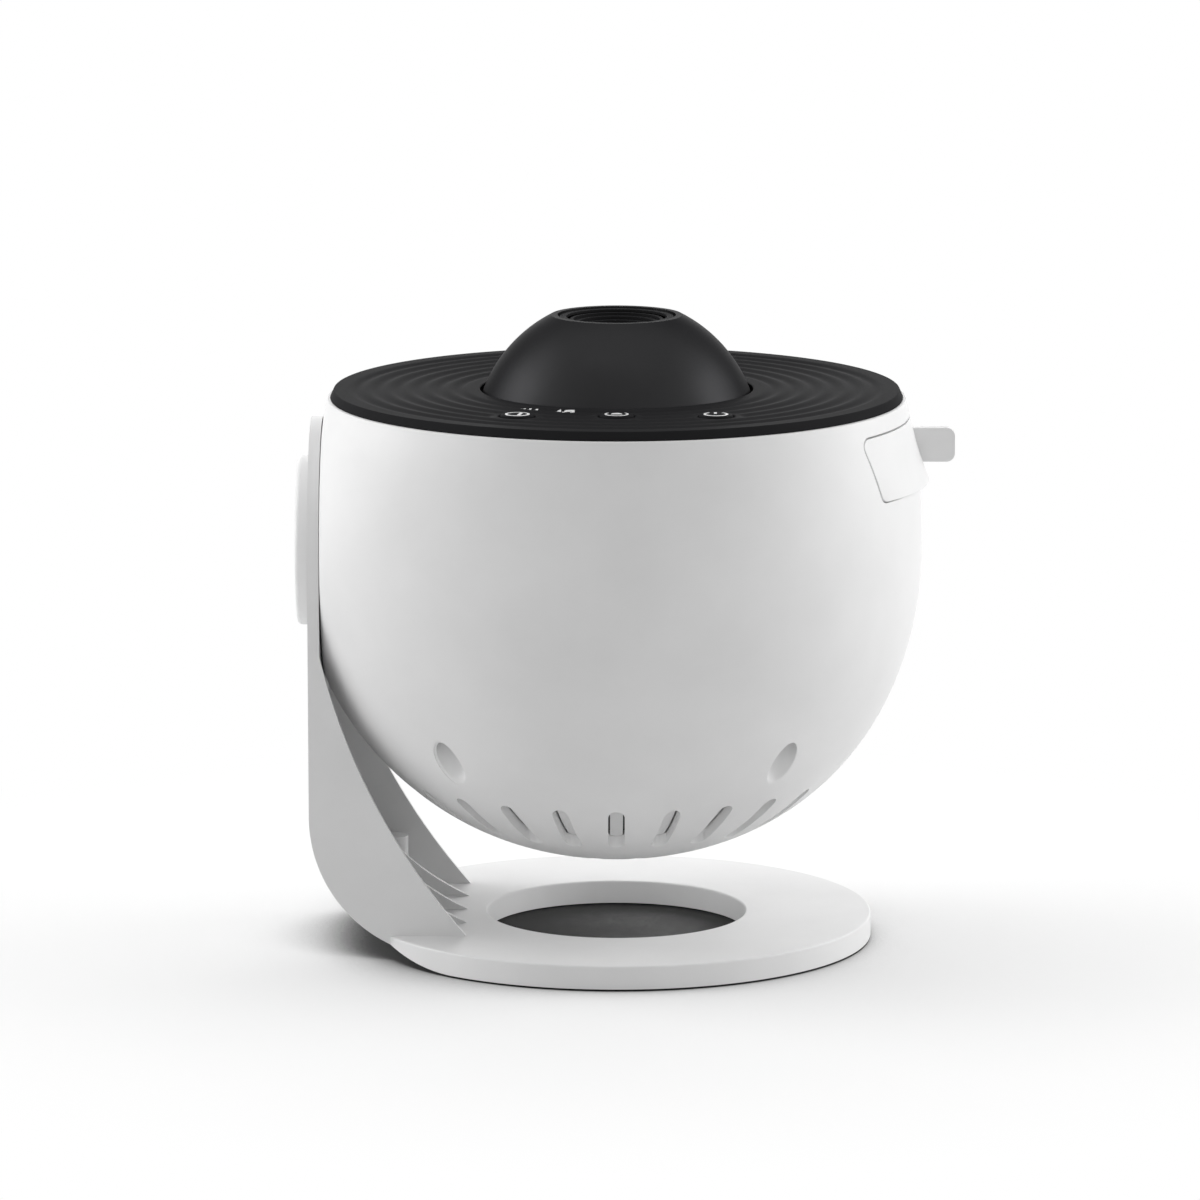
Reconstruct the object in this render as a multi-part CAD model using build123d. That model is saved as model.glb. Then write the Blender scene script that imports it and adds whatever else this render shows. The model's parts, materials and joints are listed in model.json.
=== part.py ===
from build123d import *
import os
from math import sqrt, sin, cos, tan, radians, degrees, pi

# A home planetarium projector. A ball-shaped head holds the lamp, the film disc and the lens,
# and tilts on one side arm that grows out of a ring base.
# Millimetres. The origin is on the table under the centre of the ring base. +Z is up, -Y is
# the front with the buttons, +X is the film-disc tray and -X is the arm.

# ---------------- driving dimensions ----------------
# Head shell: a bowl and an upper wall turned about the Z axis
body_radius = 75.0        # at the equator, which the tilt axis passes through
pivot_height = 99.0       # tilt axis and equator above the table
bowl_depth = 78.2         # equator down to the lowest point
bowl_fullness = 0.5955    # pull of the bowl's curve: 0.5523 would be a plain ellipse
bowl_arcs = 4             # arcs that draw the bowl's curve
upper_curve = 157.0       # radius that draws the wall in above the equator
upper_height = 35.6       # equator up to the rim
shell_wall = 2.4
flat_cut = 3.3            # depth of the flat that faces the arm

# Cap
cap_inset = 0.7           # the cap's edge inside the shell's rim
cap_edge = 2.2
cap_chamfer = 1.0
cap_wall = 2.4
cap_skirt = 4.0
ripple_first = 41.0       # radius of the first crest
ripple_margin = 9.2       # last crest to the cap's edge
ripple_count = 5
ripple_depth = 0.45

# Focus dome and its mouth
dome_radius = 35.0
dome_drop = 13.0          # ball's centre below the cap's top face
dome_rise = 31.1          # ball's centre up to the flat rim of the mouth
dome_wall = 2.0
dome_gap = 0.9
dome_flange = 1.6
dome_flange_reach = 36.6
mouth_radius = 14.5

# Lens
focus_angle = 30.0        # turn each way
focus_travel = 1.5        # lens travel each way
barrel_radius = 14.05
barrel_wall = 1.5
barrel_length = 20.9
barrel_under_rim = 1.0    # top of the barrel below the rim of the mouth
guide_wall = 2.1
sleeve_wall = 2.3
sleeve_length = 17.0
guide_plate = 1.6
guide_plate_edge = 4.0    # from a fixing screw to the edge of the plate
pin_radius = 1.0
pin_drop = 14.9           # cam pins below the rim of the mouth
stop_radii = (11.35, 9.3, 7.9)
stop_step = 1.2
front_lens_thick = 4.6
front_lens_bulge = 1.2
rear_lens_radius = 10.2
rear_lens_thick = 3.6

# Buttons
button_radius = 4.1
button_row = -45.0        # Y of the row
button_pitch = 23.7
button_proud = 0.5
button_travel = 0.6
button_gap = 0.25
button_flange = 0.9
stem_radius = 2.2

# Film disc, its gear and the tray
gear_module = 1.0
gear_teeth = 60
pinion_teeth = 12
tooth_share = 0.43        # of the pitch: the rest is space and backlash
gear_thick = 3.0
film_radius = 25.0
film_thick = 1.2
film_window = 22.0
carrier_boss = 27.95
tray_half = 33.5
tray_thick = 3.0
tray_below_rim = 13.6     # top of the tray's plate below the shell's rim
tray_rear = 33.5         # back edge of the plate; two side arms run on to tray_arm
tray_arm = 44.0
tray_arm_wide = 3.5
door_top = 4.4            # edges of the door below the shell's rim
door_bottom = 20.1
door_half_top = 41.8
door_half_bottom = 37.0
door_corner = 2.2
door_flare = 2.4          # how far the middle of the lower edge stands proud of the shell
door_wall = 2.2
door_sections = 5         # circles that draw the door's face
door_gap = 0.35
tab_proud = 7.9           # end of the pull tab beyond the equator
tab_high = 8.4
tab_wide = 2.8
tab_corner = 2.1
tab_drop = 7.5            # top of the tab below the shell's rim
door_screw_y = 14.0
door_screw_bite = 1.0     # screw's point past the door's inner face
tray_wall_thick = 4.5
tray_wall_half = 24.0

# Tray housing
housing_half = 36.0
housing_rear = 46.0
housing_inset = 2.8       # its front corners inside the shell's wall
housing_wall = 1.6
housing_side = 2.2
housing_depth = 17.6      # outside height
rail_reach = 2.2
post_radius = 3.0
housing_post_back = 39.0
housing_post_front = 10.0 # behind the housing's front edge
housing_post_y = 29.5

# Lamp engine under the housing
condenser_radius = 20.3
condenser_thick = 7.0
condenser_edge = 2.1      # thickness at the rim
condenser_seat = 1.2      # width of the flat that it rests on
condenser_down = 2.0      # its flat face below the housing
holder_wall = 2.5
holder_length = 17.0
holder_flange = 3.0
holder_flange_radius = 30.0
lamp_screw_circle = 26.6
lamp_screw_angles = (30, 150, 270)
led_board_radius = 12.0
led_board_thick = 1.6
emitter_radius = 3.0
emitter_high = 2.4
sink_base = 5.0
sink_fin_high = 28.0
sink_fin_thick = 1.6
sink_fin_count = 9

# Motor
motor_wide = 11.0         # across X
motor_deep = 12.0         # across Y
motor_long = 32.0
shaft_radius = 1.5

# Boards
control_board_half = 32.0
control_board_deep = 13.0
control_board_drop = 7.0  # top of the board below the cap's underside
board_thick = 1.6
switch_side = 6.0
switch_high = 3.4
main_board_half = 26.0
main_board_near = 36.0    # Y of its inner edge
main_board_inset = 15.5   # its outer edge from the shell's equator
main_board_height = 64.0
jack_axis = 5.5           # above the main board
jack_wide = 9.0
jack_long = 15.0
jack_nose = 4.0
jack_bore = 3.2
jack_pin = 1.0
jack_depth = 9.5

# Vents in the bowl
vent_count = 24
vent_wide = 3.9
vent_inner = 37.9
vent_outer = 53.8
fin_wide = 3.05
fin_inner = 44.9
fin_end = 1.3             # short of the vent's outer end
fin_root = 0.6            # its hold on the liner at each end
fin_sunk = 1.2            # fin's face below the outer surface
liner_gap = 2.0           # between the shell's wall and the liner behind the vents
liner_wall = 1.4
liner_inner = 33.0
liner_outer = 55.6
drain_count = 12
drain_wide = 3.0
drain_inner = 15.5
drain_outer = 23.0
flank_slot_high = 4.2
flank_slot_wide = 24.0
flank_slot_pitch = 8.3
flank_slot_drop = 36.0    # first slot below the tilt axis
well_angle = 50.0
well_inset = 13.0         # from the shell's equator
well_radius = 3.4
well_wall = 1.8
well_top_drop = 28.0      # screw seat below the cap's underside
well_seat = 2.4
board_post_angle = 67.5
board_post_near = 41.8    # circles that the posts stand on
board_post_inset = 15.0
board_post_radius = 2.5
board_screw_depth = 6.0

# Stand
arm_gap = 0.35            # between the shell's flat and the arm
arm_thick = 2.8
arm_half = 30.4
sweep_height = 40.0       # centre of the curve that turns the arm under, above the ring's foot
sweep_radius = 42.0
sweep_turn = 49.8         # degrees; the arm runs on straight from there
void_inset = 2.0          # from the sweep to the hollow under the ring
base_inset = 11.85        # the ring's edge inside the arm's outer face
base_hole = 32.0
base_thick = 5.7
pad_proud = 0.5
base_wall = 4.2           # ring left solid at the outer edge
base_inner_wall = 2.2
base_cover_thick = 1.5
pad_wide = 7.0
pad_inset = 12.5          # the pad's edge inside the ring's
weight_thick = 2.2
base_screw_inset = 17.0
base_roof = 1.8
gusset_thick = 1.6
gusset_top = 75.3
gusset_run = 38.15        # from the arm's outer face to the toe
gusset_curve = 161.6
rib_thick = 1.4
rib_count = 3
rib_top = 52.0
rib_curve = 62.2
boss_radius = 3.2
boss_height = 20.0
boss_inset = 19.45        # from the arm's outer face
boss_y = 22.8

# Tilt hinge
spigot_radius = 9.95
bush_wall = 2.0
hub_radius = 19.0
hub_thick = 2.5
hinge_pocket_radius = 17.0
hinge_pocket = 0.8
washer_radius = 15.0
washer_thick = 0.4
keeper_radius = 15.5
keeper_thick = 1.0
hinge_cap_radius = 20.8
hinge_cap_proud = 3.5
hinge_cap_wall = 1.2
hinge_cap_round = 1.4
hub_screw_circle = 15.3
hub_screw_angles = (90, 210, 330)
keeper_screw_circle = 6.4
keeper_screw_angles = (30, 150, 270)

# Fasteners and clearances
screw_radius = 1.25
screw_head = 2.4
screw_head_high = 1.6
running = 0.05            # shaft in its hole, radial
thread_gap = 0.01         # round a screw in its pilot
thrust = 0.1              # end play of the tilt hinge
clear = 0.3               # between pieces that move apart

# ---------------- places worked out from them ----------------
rim = pivot_height + upper_height
rim_radius = body_radius - upper_curve + sqrt(upper_curve ** 2 - upper_height ** 2)
flat_distance = body_radius - flat_cut
cap_top = rim + cap_edge
cap_under = cap_top - cap_wall
cap_radius = rim_radius - cap_inset
ripple_pitch = (cap_radius - ripple_margin - ripple_first) / (ripple_count - 1)
dome_centre = cap_top - dome_drop
mouth_top = dome_centre + dome_rise
dome_hole = sqrt(dome_radius ** 2 - dome_drop ** 2) + dome_gap
dome_hole_low = sqrt(dome_radius ** 2 - (dome_drop - cap_wall) ** 2) + dome_gap
guide_inner = barrel_radius + running
guide_outer = guide_inner + guide_wall
sleeve_inner = guide_outer + running
sleeve_outer = sleeve_inner + sleeve_wall
flange_top = cap_under - clear
guide_top = flange_top - dome_flange - clear
housing_top = guide_top - guide_plate
housing_bottom = housing_top - housing_depth
housing_reach = rim_radius - shell_wall - housing_inset
housing_front = sqrt(housing_reach ** 2 - housing_half ** 2)
housing_post_x = (-housing_post_back, housing_front - housing_post_front)
well_circle = body_radius - well_inset
main_board_far = body_radius - main_board_inset
board_post_circles = (board_post_near, body_radius - board_post_inset)
tray_top = rim - tray_below_rim
tray_bottom = tray_top - tray_thick
gear_bottom = tray_top + clear
gear_top = gear_bottom + gear_thick
gear_pitch_radius = gear_module * gear_teeth / 2
pinion_pitch_radius = gear_module * pinion_teeth / 2
pinion_x = -(gear_pitch_radius + pinion_pitch_radius)
pinion_tip = pinion_pitch_radius + 0.9 * gear_module
sink_top = housing_bottom - holder_length
board_seat = main_board_height + board_thick
base_top = pad_proud + base_thick
arm_inner = flat_distance + arm_gap
arm_outer = arm_inner + arm_thick
base_radius = arm_outer - base_inset
pad_radius = base_radius - pad_inset
base_screw_circle = base_radius - base_screw_inset
gusset_toe = arm_outer - gusset_run
sweep_x = arm_outer - sweep_radius
sweep_z = pad_proud + sweep_height
sweep_foot = sweep_x + (sweep_radius - sweep_height * sin(radians(sweep_turn))) / cos(radians(sweep_turn))
boss_place = (arm_outer - boss_inset, boss_y)
flat_inner = flat_distance - shell_wall
pocket_floor = arm_outer - hinge_pocket
spigot_end = pocket_floor + washer_thick + thrust
control_top = cap_under - control_board_drop
pin_height = mouth_top - pin_drop
barrel_top = mouth_top - barrel_under_rim


# ---------------- small helpers ----------------
def tube(outer, inner, low, high):
    """A ring about Z between two heights; inner 0 gives a disc."""
    body = Pos(0, 0, low) * extrude(Circle(outer), high - low)
    if inner > 0:
        body -= Pos(0, 0, low) * extrude(Circle(inner), high - low)
    return body


def tube_x(outer, inner, near, far):
    """A ring about the tilt axis between two distances on the arm's side of the Z axis."""
    body = Plane.YZ * extrude(Circle(outer), far - near)
    if inner > 0:
        body -= Plane.YZ * extrude(Circle(inner), far - near)
    return Pos(-far, 0, pivot_height) * body


def block(x_low, x_high, y_low, y_high, z_low, z_high):
    size = (x_high - x_low, y_high - y_low, z_high - z_low)
    centre = ((x_low + x_high) / 2, (y_low + y_high) / 2, (z_low + z_high) / 2)
    return Pos(*centre) * Box(*size)


def around(shape, count, start=0.0):
    """Copies of a shape, evenly turned about the Z axis."""
    return [Rot(0, 0, start + 360.0 * i / count) * shape for i in range(count)]


def polar(radius, angle):
    return radius * cos(radians(angle)), radius * sin(radians(angle))


def bearing_x(circle, angle):
    """A place on a circle about the tilt axis, as Y and Z."""
    return circle * cos(radians(angle)), pivot_height + circle * sin(radians(angle))


def screw(head_z, length, up):
    """A pan-head screw on the Z axis whose head rests at head_z; up says which way its point goes."""
    way = 1 if up else -1
    shank = extrude(Circle(screw_radius), way * length)
    head = extrude(Circle(screw_head), -way * screw_head_high)
    drive = Pos(0, 0, -way * screw_head_high) * extrude(Circle(screw_radius), way * 0.7)
    return Pos(0, 0, head_z) * (shank + head - drive)


def screw_x(head_x, length, place, outward):
    """The same along X: outward sends its point away from the Z axis on the arm's side."""
    turned = Rot(0, -90 if outward else 90, 0) * screw(0, length, True)
    return Pos(head_x, place[0], place[1]) * turned


# ---------------- head shell ----------------
def wall_radius(z, inset=0.0):
    """Radius of the upper wall at a height above the equator."""
    curve = upper_curve - inset
    return body_radius - inset - curve + sqrt(curve ** 2 - (z - pivot_height) ** 2)


def shell_solid(inset, top=None):
    """The head's turned form, drawn in by inset, closed at the top."""
    top = rim if top is None else top
    radius = body_radius - inset
    depth = bowl_depth - inset
    low = pivot_height - depth
    middle = (pivot_height + top) / 2
    curve = Bezier(
        (radius, 0, pivot_height),
        (radius, 0, pivot_height - bowl_fullness * depth),
        (bowl_fullness * radius, 0, low),
        (0, 0, low),
    )
    stations = [curve @ (i / (2 * bowl_arcs)) for i in range(2 * bowl_arcs + 1)]
    bowl = [ThreePointArc(*stations[2 * i:2 * i + 3]) for i in range(bowl_arcs)]
    axis_line = Line((0, 0, low), (0, 0, top))
    lid = Line((0, 0, top), (wall_radius(top, inset), 0, top))
    wall = ThreePointArc(
        (wall_radius(top, inset), 0, top),
        (wall_radius(middle, inset), 0, middle),
        (radius, 0, pivot_height),
    )
    turned = revolve(make_face(bowl + [axis_line, lid, wall]), Axis.Z)
    flat = flat_distance - inset
    return turned & block(-flat, body_radius + 1, -body_radius - 1, body_radius + 1, 0, top + 1)


def radial_slot(inner, outer, wide, low, high):
    """A round-ended slot along +X, cut straight up."""
    middle = (inner + outer) / 2
    return Pos(middle, 0, low) * extrude(SlotOverall(outer - inner, wide), high - low)


def vent_angles():
    return [360.0 * i / vent_count - 90.0 for i in range(vent_count)]


def bowl_height(radius):
    """Roughly where the bowl's outer surface is at a radius from the Z axis."""
    share = min(radius / body_radius, 1.0)
    return pivot_height - bowl_depth * (1 - share ** 2.14) ** (1 / 2.14)


def bowl_radius(z, inset=0.0):
    """Roughly the bowl's radius at a height under the equator."""
    share = (pivot_height - z) / (bowl_depth - inset)
    return (body_radius - inset) * (1 - share ** 2.14) ** (1 / 2.14)


def door_prism(grow):
    """The door's outline, a trapezium with round corners, drawn along +X."""
    top = rim - door_top + grow
    low = rim - door_bottom - grow
    corners = [
        (-door_half_top - grow, top),
        (door_half_top + grow, top),
        (door_half_bottom + grow, low),
        (-door_half_bottom - grow, low),
    ]
    face = make_face(Polyline(*corners, close=True))
    face = fillet(face.vertices(), door_corner + grow)
    return Pos(body_radius * 0.7, 0, 0) * extrude(Plane.YZ * face, body_radius)


def well_places():
    x, y = polar(well_circle, well_angle)
    return [(sx * x, sy * y) for sx in (1, -1) for sy in (1, -1)]


def screw_wells():
    """Four tubes on the shell's wall that take the case screws up to their seats."""
    seat = cap_under - well_top_drop
    outer = well_radius + well_wall
    well = tube(outer, well_radius, 0, seat) + tube(outer, screw_radius, seat, seat + well_seat)
    return shell_solid(shell_wall) & Compound([Pos(x, y, 0) * well for x, y in well_places()])


def board_post_places():
    angles = (board_post_angle, 180 - board_post_angle)
    return [polar(circle, angle) for circle in board_post_circles for angle in angles]


def board_posts():
    """Four posts on the shell's wall that carry the main board."""
    post = tube(board_post_radius, 0, 0, main_board_height)
    post -= tube(screw_radius, 0, main_board_height - board_screw_depth, main_board_height + 1)
    return shell_solid(shell_wall) & Compound([Pos(x, y, 0) * post for x, y in board_post_places()])


def bowl_shell():
    shell = shell_solid(0) - shell_solid(shell_wall, rim + 1)
    well = tube(well_radius, 0, 0, pivot_height)
    shell -= [Pos(x, y, 0) * well for x, y in well_places()]
    vent = radial_slot(vent_inner, vent_outer, vent_wide, 0, pivot_height * 0.6)
    shell -= [Rot(0, 0, angle) * vent for angle in vent_angles()]
    drain = radial_slot(drain_inner, drain_outer, drain_wide, 0, pivot_height * 0.5)
    shell -= around(drain, drain_count, 15)
    slot = Plane.YZ * extrude(SlotOverall(flank_slot_wide, flank_slot_high), body_radius * 0.4)
    for i in range(3):
        z = pivot_height - flank_slot_drop - i * flank_slot_pitch
        shell -= Pos(-body_radius, 0, z) * slot
    shell -= door_prism(door_gap)
    shell -= tube_x(spigot_radius + running, 0, flat_inner - 1, flat_distance + 1)
    for angle in hub_screw_angles:
        shell -= Pos(0, *bearing_x(hub_screw_circle, angle)) * hub_pilot()
    nose = Pos(0, body_radius, board_seat + jack_axis) * extrude(
        Plane.XZ * Circle(jack_nose + running), body_radius * 0.3
    )
    shell -= nose
    return shell


def hub_pilot():
    """A blind hole for a hub screw in the flat's wall."""
    depth = shell_wall * 0.65
    return Pos(-flat_inner - depth, 0, 0) * (Plane.YZ * extrude(Circle(screw_radius), depth))


def vent_baffle():
    """A liner behind the vents. A fin bridges a window in it behind each vent, so that air passes
    at the fin's sides and the lamp's light is held in."""
    face = shell_wall + liner_gap
    low = bowl_height(liner_inner) - 2
    high = bowl_height(liner_outer) + face
    liner = shell_solid(face) - shell_solid(face + liner_wall)
    liner &= tube(liner_outer, liner_inner, low, high)
    fin_outer = vent_outer - fin_end
    fin = block(fin_inner, fin_outer, -fin_wide / 2, fin_wide / 2, low, high)
    window = block(
        fin_inner + fin_root, fin_outer - fin_root, -vent_wide / 2, vent_wide / 2, low - 5, high + 5
    )
    liner -= [Rot(0, 0, angle) * window for angle in vent_angles()]
    skin = shell_solid(fin_sunk) - shell_solid(face + liner_wall / 2)
    liner += skin & (Part() + [Rot(0, 0, angle) * fin for angle in vent_angles()])
    pad = tube(2.0, 0, low, high)
    x, y = polar(liner_outer - 3, 22.5)
    pads = [Rot(0, 0, 90 * i) * Pos(x, y, 0) * pad for i in range(4)]
    liner += (shell_solid(shell_wall) - shell_solid(face + liner_wall / 2)) & (Part() + pads)
    for x, y in board_post_places():
        liner -= Pos(x, y, 0) * tube(board_post_radius + clear, 0, low, high + 5)
    return liner


def case_screws():
    one = screw(cap_under - well_top_drop, well_top_drop * 0.4, True)
    return Compound([Pos(x, y, 0) * one for x, y in well_places()])


# ---------------- cap and buttons ----------------
def cap_profile():
    """Half section of the cap: rippled top, chamfered edge and a skirt inside the shell."""
    skirt = wall_radius(rim, shell_wall) - 0.1
    wave = []
    for i in range(2 * ripple_count + 1):
        z = cap_top - (ripple_depth if i % 2 == 0 else 0.0)
        wave.append((ripple_first + (i - 1) * ripple_pitch / 2, 0, z))
    start = (wave[0][0] - ripple_pitch / 4, 0, cap_top)
    end = (wave[-1][0] + ripple_pitch / 4, 0, cap_top)
    points = [(dome_hole, 0, cap_top), start] + wave + [end]
    points += [
        (cap_radius - cap_chamfer, 0, cap_top),
        (cap_radius, 0, rim),
        (skirt, 0, rim),
        (skirt, 0, cap_under - cap_skirt),
        (skirt - 1.6, 0, cap_under - cap_skirt),
        (skirt - 1.6, 0, cap_under),
        (dome_hole_low, 0, cap_under),
    ]
    return make_face(Polyline(*points, close=True))


def button_places():
    return [(-button_pitch, button_row), (0.0, button_row), (button_pitch, button_row)]


def top_cap():
    cap = revolve(cap_profile(), Axis.Z)
    for x in housing_post_x:
        for y in (-housing_post_y, housing_post_y):
            cap += Pos(x, y, 0) * tube(post_radius, 0, guide_top, cap_under)
            cap -= Pos(x, y, 0) * tube(screw_radius, 0, guide_top - 1, cap_under + 0.8)
    boss = tube(well_radius + 0.4, screw_radius, cap_under - well_top_drop + well_seat, cap_under)
    for x, y in well_places():
        cap += Pos(x, y, 0) * boss
    for sx in (1, -1):
        post = tube(post_radius - 0.5, screw_radius, control_top, cap_under)
        cap += Pos(sx * button_pitch / 2, button_row, 0) * post
    hole = tube(button_radius + button_gap, 0, cap_under - 1, cap_top + 1)
    dish = Pos(0, 0, cap_top - 0.5) * Cone(
        button_radius + button_gap, button_radius + button_gap + 0.6, 0.6,
        align=(Align.CENTER, Align.CENTER, Align.MIN),
    )
    pad = tube(button_radius + 2.2, 0, cap_top - ripple_depth, cap_top)
    for place in button_places():
        cap += Pos(*place, 0) * pad
        cap -= Pos(*place, 0) * (hole + dish)
    return cap


def button(place):
    """A push button: a crowned head, a flange that keeps it in, and a stem over its switch."""
    top = cap_top + button_proud
    head = tube(button_radius, 0, cap_under - 0.4, top)
    head = chamfer(head.edges().group_by(Axis.Z)[-1], 0.35)
    low = cap_under - 0.4 - button_flange
    flange = tube(button_radius + 1.0, 0, low, cap_under - 0.4)
    switch_top = control_top + switch_high
    stem = tube(stem_radius, 0, switch_top + button_travel + running, low)
    return Pos(*place, 0) * (head + flange + stem)


def control_board():
    y_low = button_row - control_board_deep / 2
    y_high = button_row + control_board_deep / 2
    board = block(
        -control_board_half, control_board_half, y_low, y_high, control_top - board_thick, control_top
    )
    for sx in (1, -1):
        hole = tube(screw_radius, 0, control_top - board_thick - 1, control_top + 1)
        board -= Pos(sx * button_pitch / 2, button_row, 0) * hole
    return board


def tact_switches():
    half = switch_side / 2
    body = block(-half, half, -half, half, control_top, control_top + switch_high - 0.8)
    plunger = tube(1.7, 0, control_top + switch_high - 0.8, control_top + switch_high)
    return Compound([Pos(*place, 0) * (body + plunger) for place in button_places()])


def control_board_screws():
    one = screw(control_top - board_thick, 5.5, True)
    return Compound([Pos(sx * button_pitch / 2, button_row, 0) * one for sx in (1, -1)])


# ---------------- lens and focus ----------------
def cam_angles():
    return (90.0, 210.0, 330.0)


def cam_slots():
    """Slanted slots in the dome's sleeve: turning the dome lifts the pins."""
    rise = focus_travel / sin(radians(focus_angle))
    slant = degrees(rise / guide_outer)
    reach = 2 * (sleeve_inner + sleeve_wall / 2) * sin(radians(focus_angle))
    slot = SlotOverall(reach + 2 * pin_radius + 2.4, 2 * pin_radius + 0.7, rotation=-slant)
    cutter = Pos(sleeve_inner - 4, 0, pin_height) * extrude(Plane.YZ * slot, sleeve_wall + 8)
    return [Rot(0, 0, angle) * cutter for angle in cam_angles()]


def focus_dome():
    flange_low = flange_top - dome_flange
    ball = Pos(0, 0, dome_centre) * (Sphere(dome_radius) - Sphere(dome_radius - dome_wall))
    dome = ball & tube(dome_radius + 1, 0, flange_low, mouth_top)
    ball_radius = sqrt(dome_radius ** 2 - (flange_low - dome_centre) ** 2)
    dome += tube(dome_flange_reach, ball_radius - dome_wall, flange_low, flange_top)
    inner_ball = dome_centre + sqrt((dome_radius - dome_wall) ** 2 - sleeve_outer ** 2)
    sleeve = tube(sleeve_outer, sleeve_inner, mouth_top - 3 - sleeve_length, inner_ball + 0.4)
    dome += sleeve
    dome -= cam_slots()
    dome -= tube(mouth_radius, 0, mouth_top - 6, mouth_top + 1)
    return dome


def lens_guide():
    """The fixed tube that the lens slides in, on a plate over the tray housing."""
    tube_top = mouth_top - 4.6
    edge = guide_plate_edge
    plate = block(
        housing_post_x[0] - edge, housing_post_x[1] + edge,
        -housing_post_y - edge, housing_post_y + edge, housing_top, guide_top,
    )
    guide = fillet(plate.edges().filter_by(Axis.Z), edge) + tube(guide_outer, 0, housing_top, tube_top)
    guide -= tube(guide_inner, 0, housing_top - 1, tube_top + 1)
    for x in housing_post_x:
        for y in (-housing_post_y, housing_post_y):
            guide -= Pos(x, y, 0) * tube(screw_radius, 0, housing_top - 1, guide_top + 1)
    high = 2 * (pin_radius + focus_travel) + 0.6
    slot = SlotOverall(high, 2 * pin_radius + 0.2, rotation=90)
    cutter = Pos(guide_inner - 3, 0, pin_height) * extrude(Plane.YZ * slot, guide_wall + 6)
    guide -= [Rot(0, 0, angle) * cutter for angle in cam_angles()]
    return guide


def lens_barrel():
    low = barrel_top - barrel_length
    bore = barrel_radius - barrel_wall
    barrel = tube(barrel_radius, bore, low, barrel_top)
    rear_low = low + 1.2
    barrel += tube(bore + 0.3, rear_lens_radius, low, rear_low + rear_lens_thick)
    barrel += tube(bore + 0.3, rear_lens_radius - 1.2, low, rear_low)
    ledge_radius = bore - 1.2
    ledge = front_lens_pole() - front_lens_thick
    ledge += front_lens_bulge * (ledge_radius / bore) ** 2 - 0.03
    barrel += tube(bore + 0.3, ledge_radius, ledge - 1.2, ledge)
    for angle in cam_angles():
        pin_hole = Plane.YZ * extrude(Circle(pin_radius), barrel_wall + 4)
        barrel -= Rot(0, 0, angle) * Pos(bore - 0.5, 0, pin_height) * pin_hole
    return barrel


def cam_pins():
    length = sleeve_outer - barrel_radius + barrel_wall
    start = barrel_radius - barrel_wall
    pin = Pos(start, 0, pin_height) * (Plane.YZ * extrude(Circle(pin_radius), length - 0.3))
    return Compound([Rot(0, 0, angle) * pin for angle in cam_angles()])


def crown(radius, bulge, pole, up):
    """A ball whose surface rises by bulge over the edge of a lens and has its pole at a height."""
    ball = (radius ** 2 + bulge ** 2) / (2 * bulge)
    centre = pole - ball if up else pole + ball
    return Pos(0, 0, centre) * Sphere(ball)


def biconvex(radius, thick, bulge, middle):
    """A lens with a ground edge: its faces rise by bulge over the edge."""
    high = middle + thick / 2
    low = middle - thick / 2
    lens = tube(radius, 0, low, high)
    return lens & crown(radius, bulge, high, True) & crown(radius, bulge, low, False)


def front_lens_pole():
    """The lens's upper face meets the lower edge of the stepped ring."""
    share = stop_radii[-1] / (barrel_radius - barrel_wall)
    return barrel_top - len(stop_radii) * stop_step + front_lens_bulge * share ** 2 * 0.9


def front_lens():
    middle = front_lens_pole() - front_lens_thick / 2
    return biconvex(barrel_radius - barrel_wall, front_lens_thick, front_lens_bulge, middle)


def rear_lens():
    low = barrel_top - barrel_length + 1.2
    return biconvex(rear_lens_radius, rear_lens_thick, 0.8, low + rear_lens_thick / 2)


def lens_stop():
    """The stepped ring in the mouth: each step is lower and narrower than the last."""
    outer = barrel_radius - barrel_wall
    ring = tube(outer, stop_radii[0], barrel_top - stop_step, barrel_top)
    for i in range(1, len(stop_radii)):
        top = barrel_top - i * stop_step
        ring += tube(outer, stop_radii[i], top - stop_step, top)
    return ring


# ---------------- film disc, tray and door ----------------
def gear_outline(teeth, outward=0.9, inward=1.25):
    """A spur gear with straight-sided teeth; the first tooth is centred on +X."""
    pitch_radius = gear_module * teeth / 2
    half = tooth_share * pi * gear_module / 2
    slope = tan(radians(20))
    tip = pitch_radius + outward * gear_module
    root = pitch_radius - inward * gear_module
    tip_angle = degrees((half - slope * outward * gear_module) / tip)
    root_angle = degrees((half + slope * inward * gear_module) / root)
    points = []
    for i in range(teeth):
        middle = 360.0 * i / teeth
        points.append(polar(root, middle - root_angle))
        points.append(polar(tip, middle - tip_angle))
        points.append(polar(tip, middle + tip_angle))
        points.append(polar(root, middle + root_angle))
    return make_face(Polyline(*points, close=True))


def disc_carrier():
    """The toothed ring that the film disc lies in; its boss turns in the tray."""
    gear = Pos(0, 0, gear_bottom) * extrude(gear_outline(gear_teeth), gear_thick)
    carrier = gear + tube(carrier_boss, 0, tray_bottom + clear, gear_bottom)
    carrier -= tube(film_window, 0, tray_bottom - 1, gear_top + 1)
    carrier -= tube(film_radius, 0, gear_top - film_thick, gear_top + 1)
    return carrier


def film_disc():
    return tube(film_radius, 0, gear_top - film_thick, gear_top)


def disc_clip():
    """A split spring ring that keeps the film disc in its seat."""
    ring = tube(film_radius + 1.4, film_radius - 2.0, gear_top, gear_top + 0.8)
    return ring - block(0, film_radius + 2, -3.0, 3.0, gear_top - 1, gear_top + 2)


def motor_shaft():
    return Pos(pinion_x, 0, 0) * tube(shaft_radius, 0, housing_bottom - 6, gear_top + 0.6)


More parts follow.
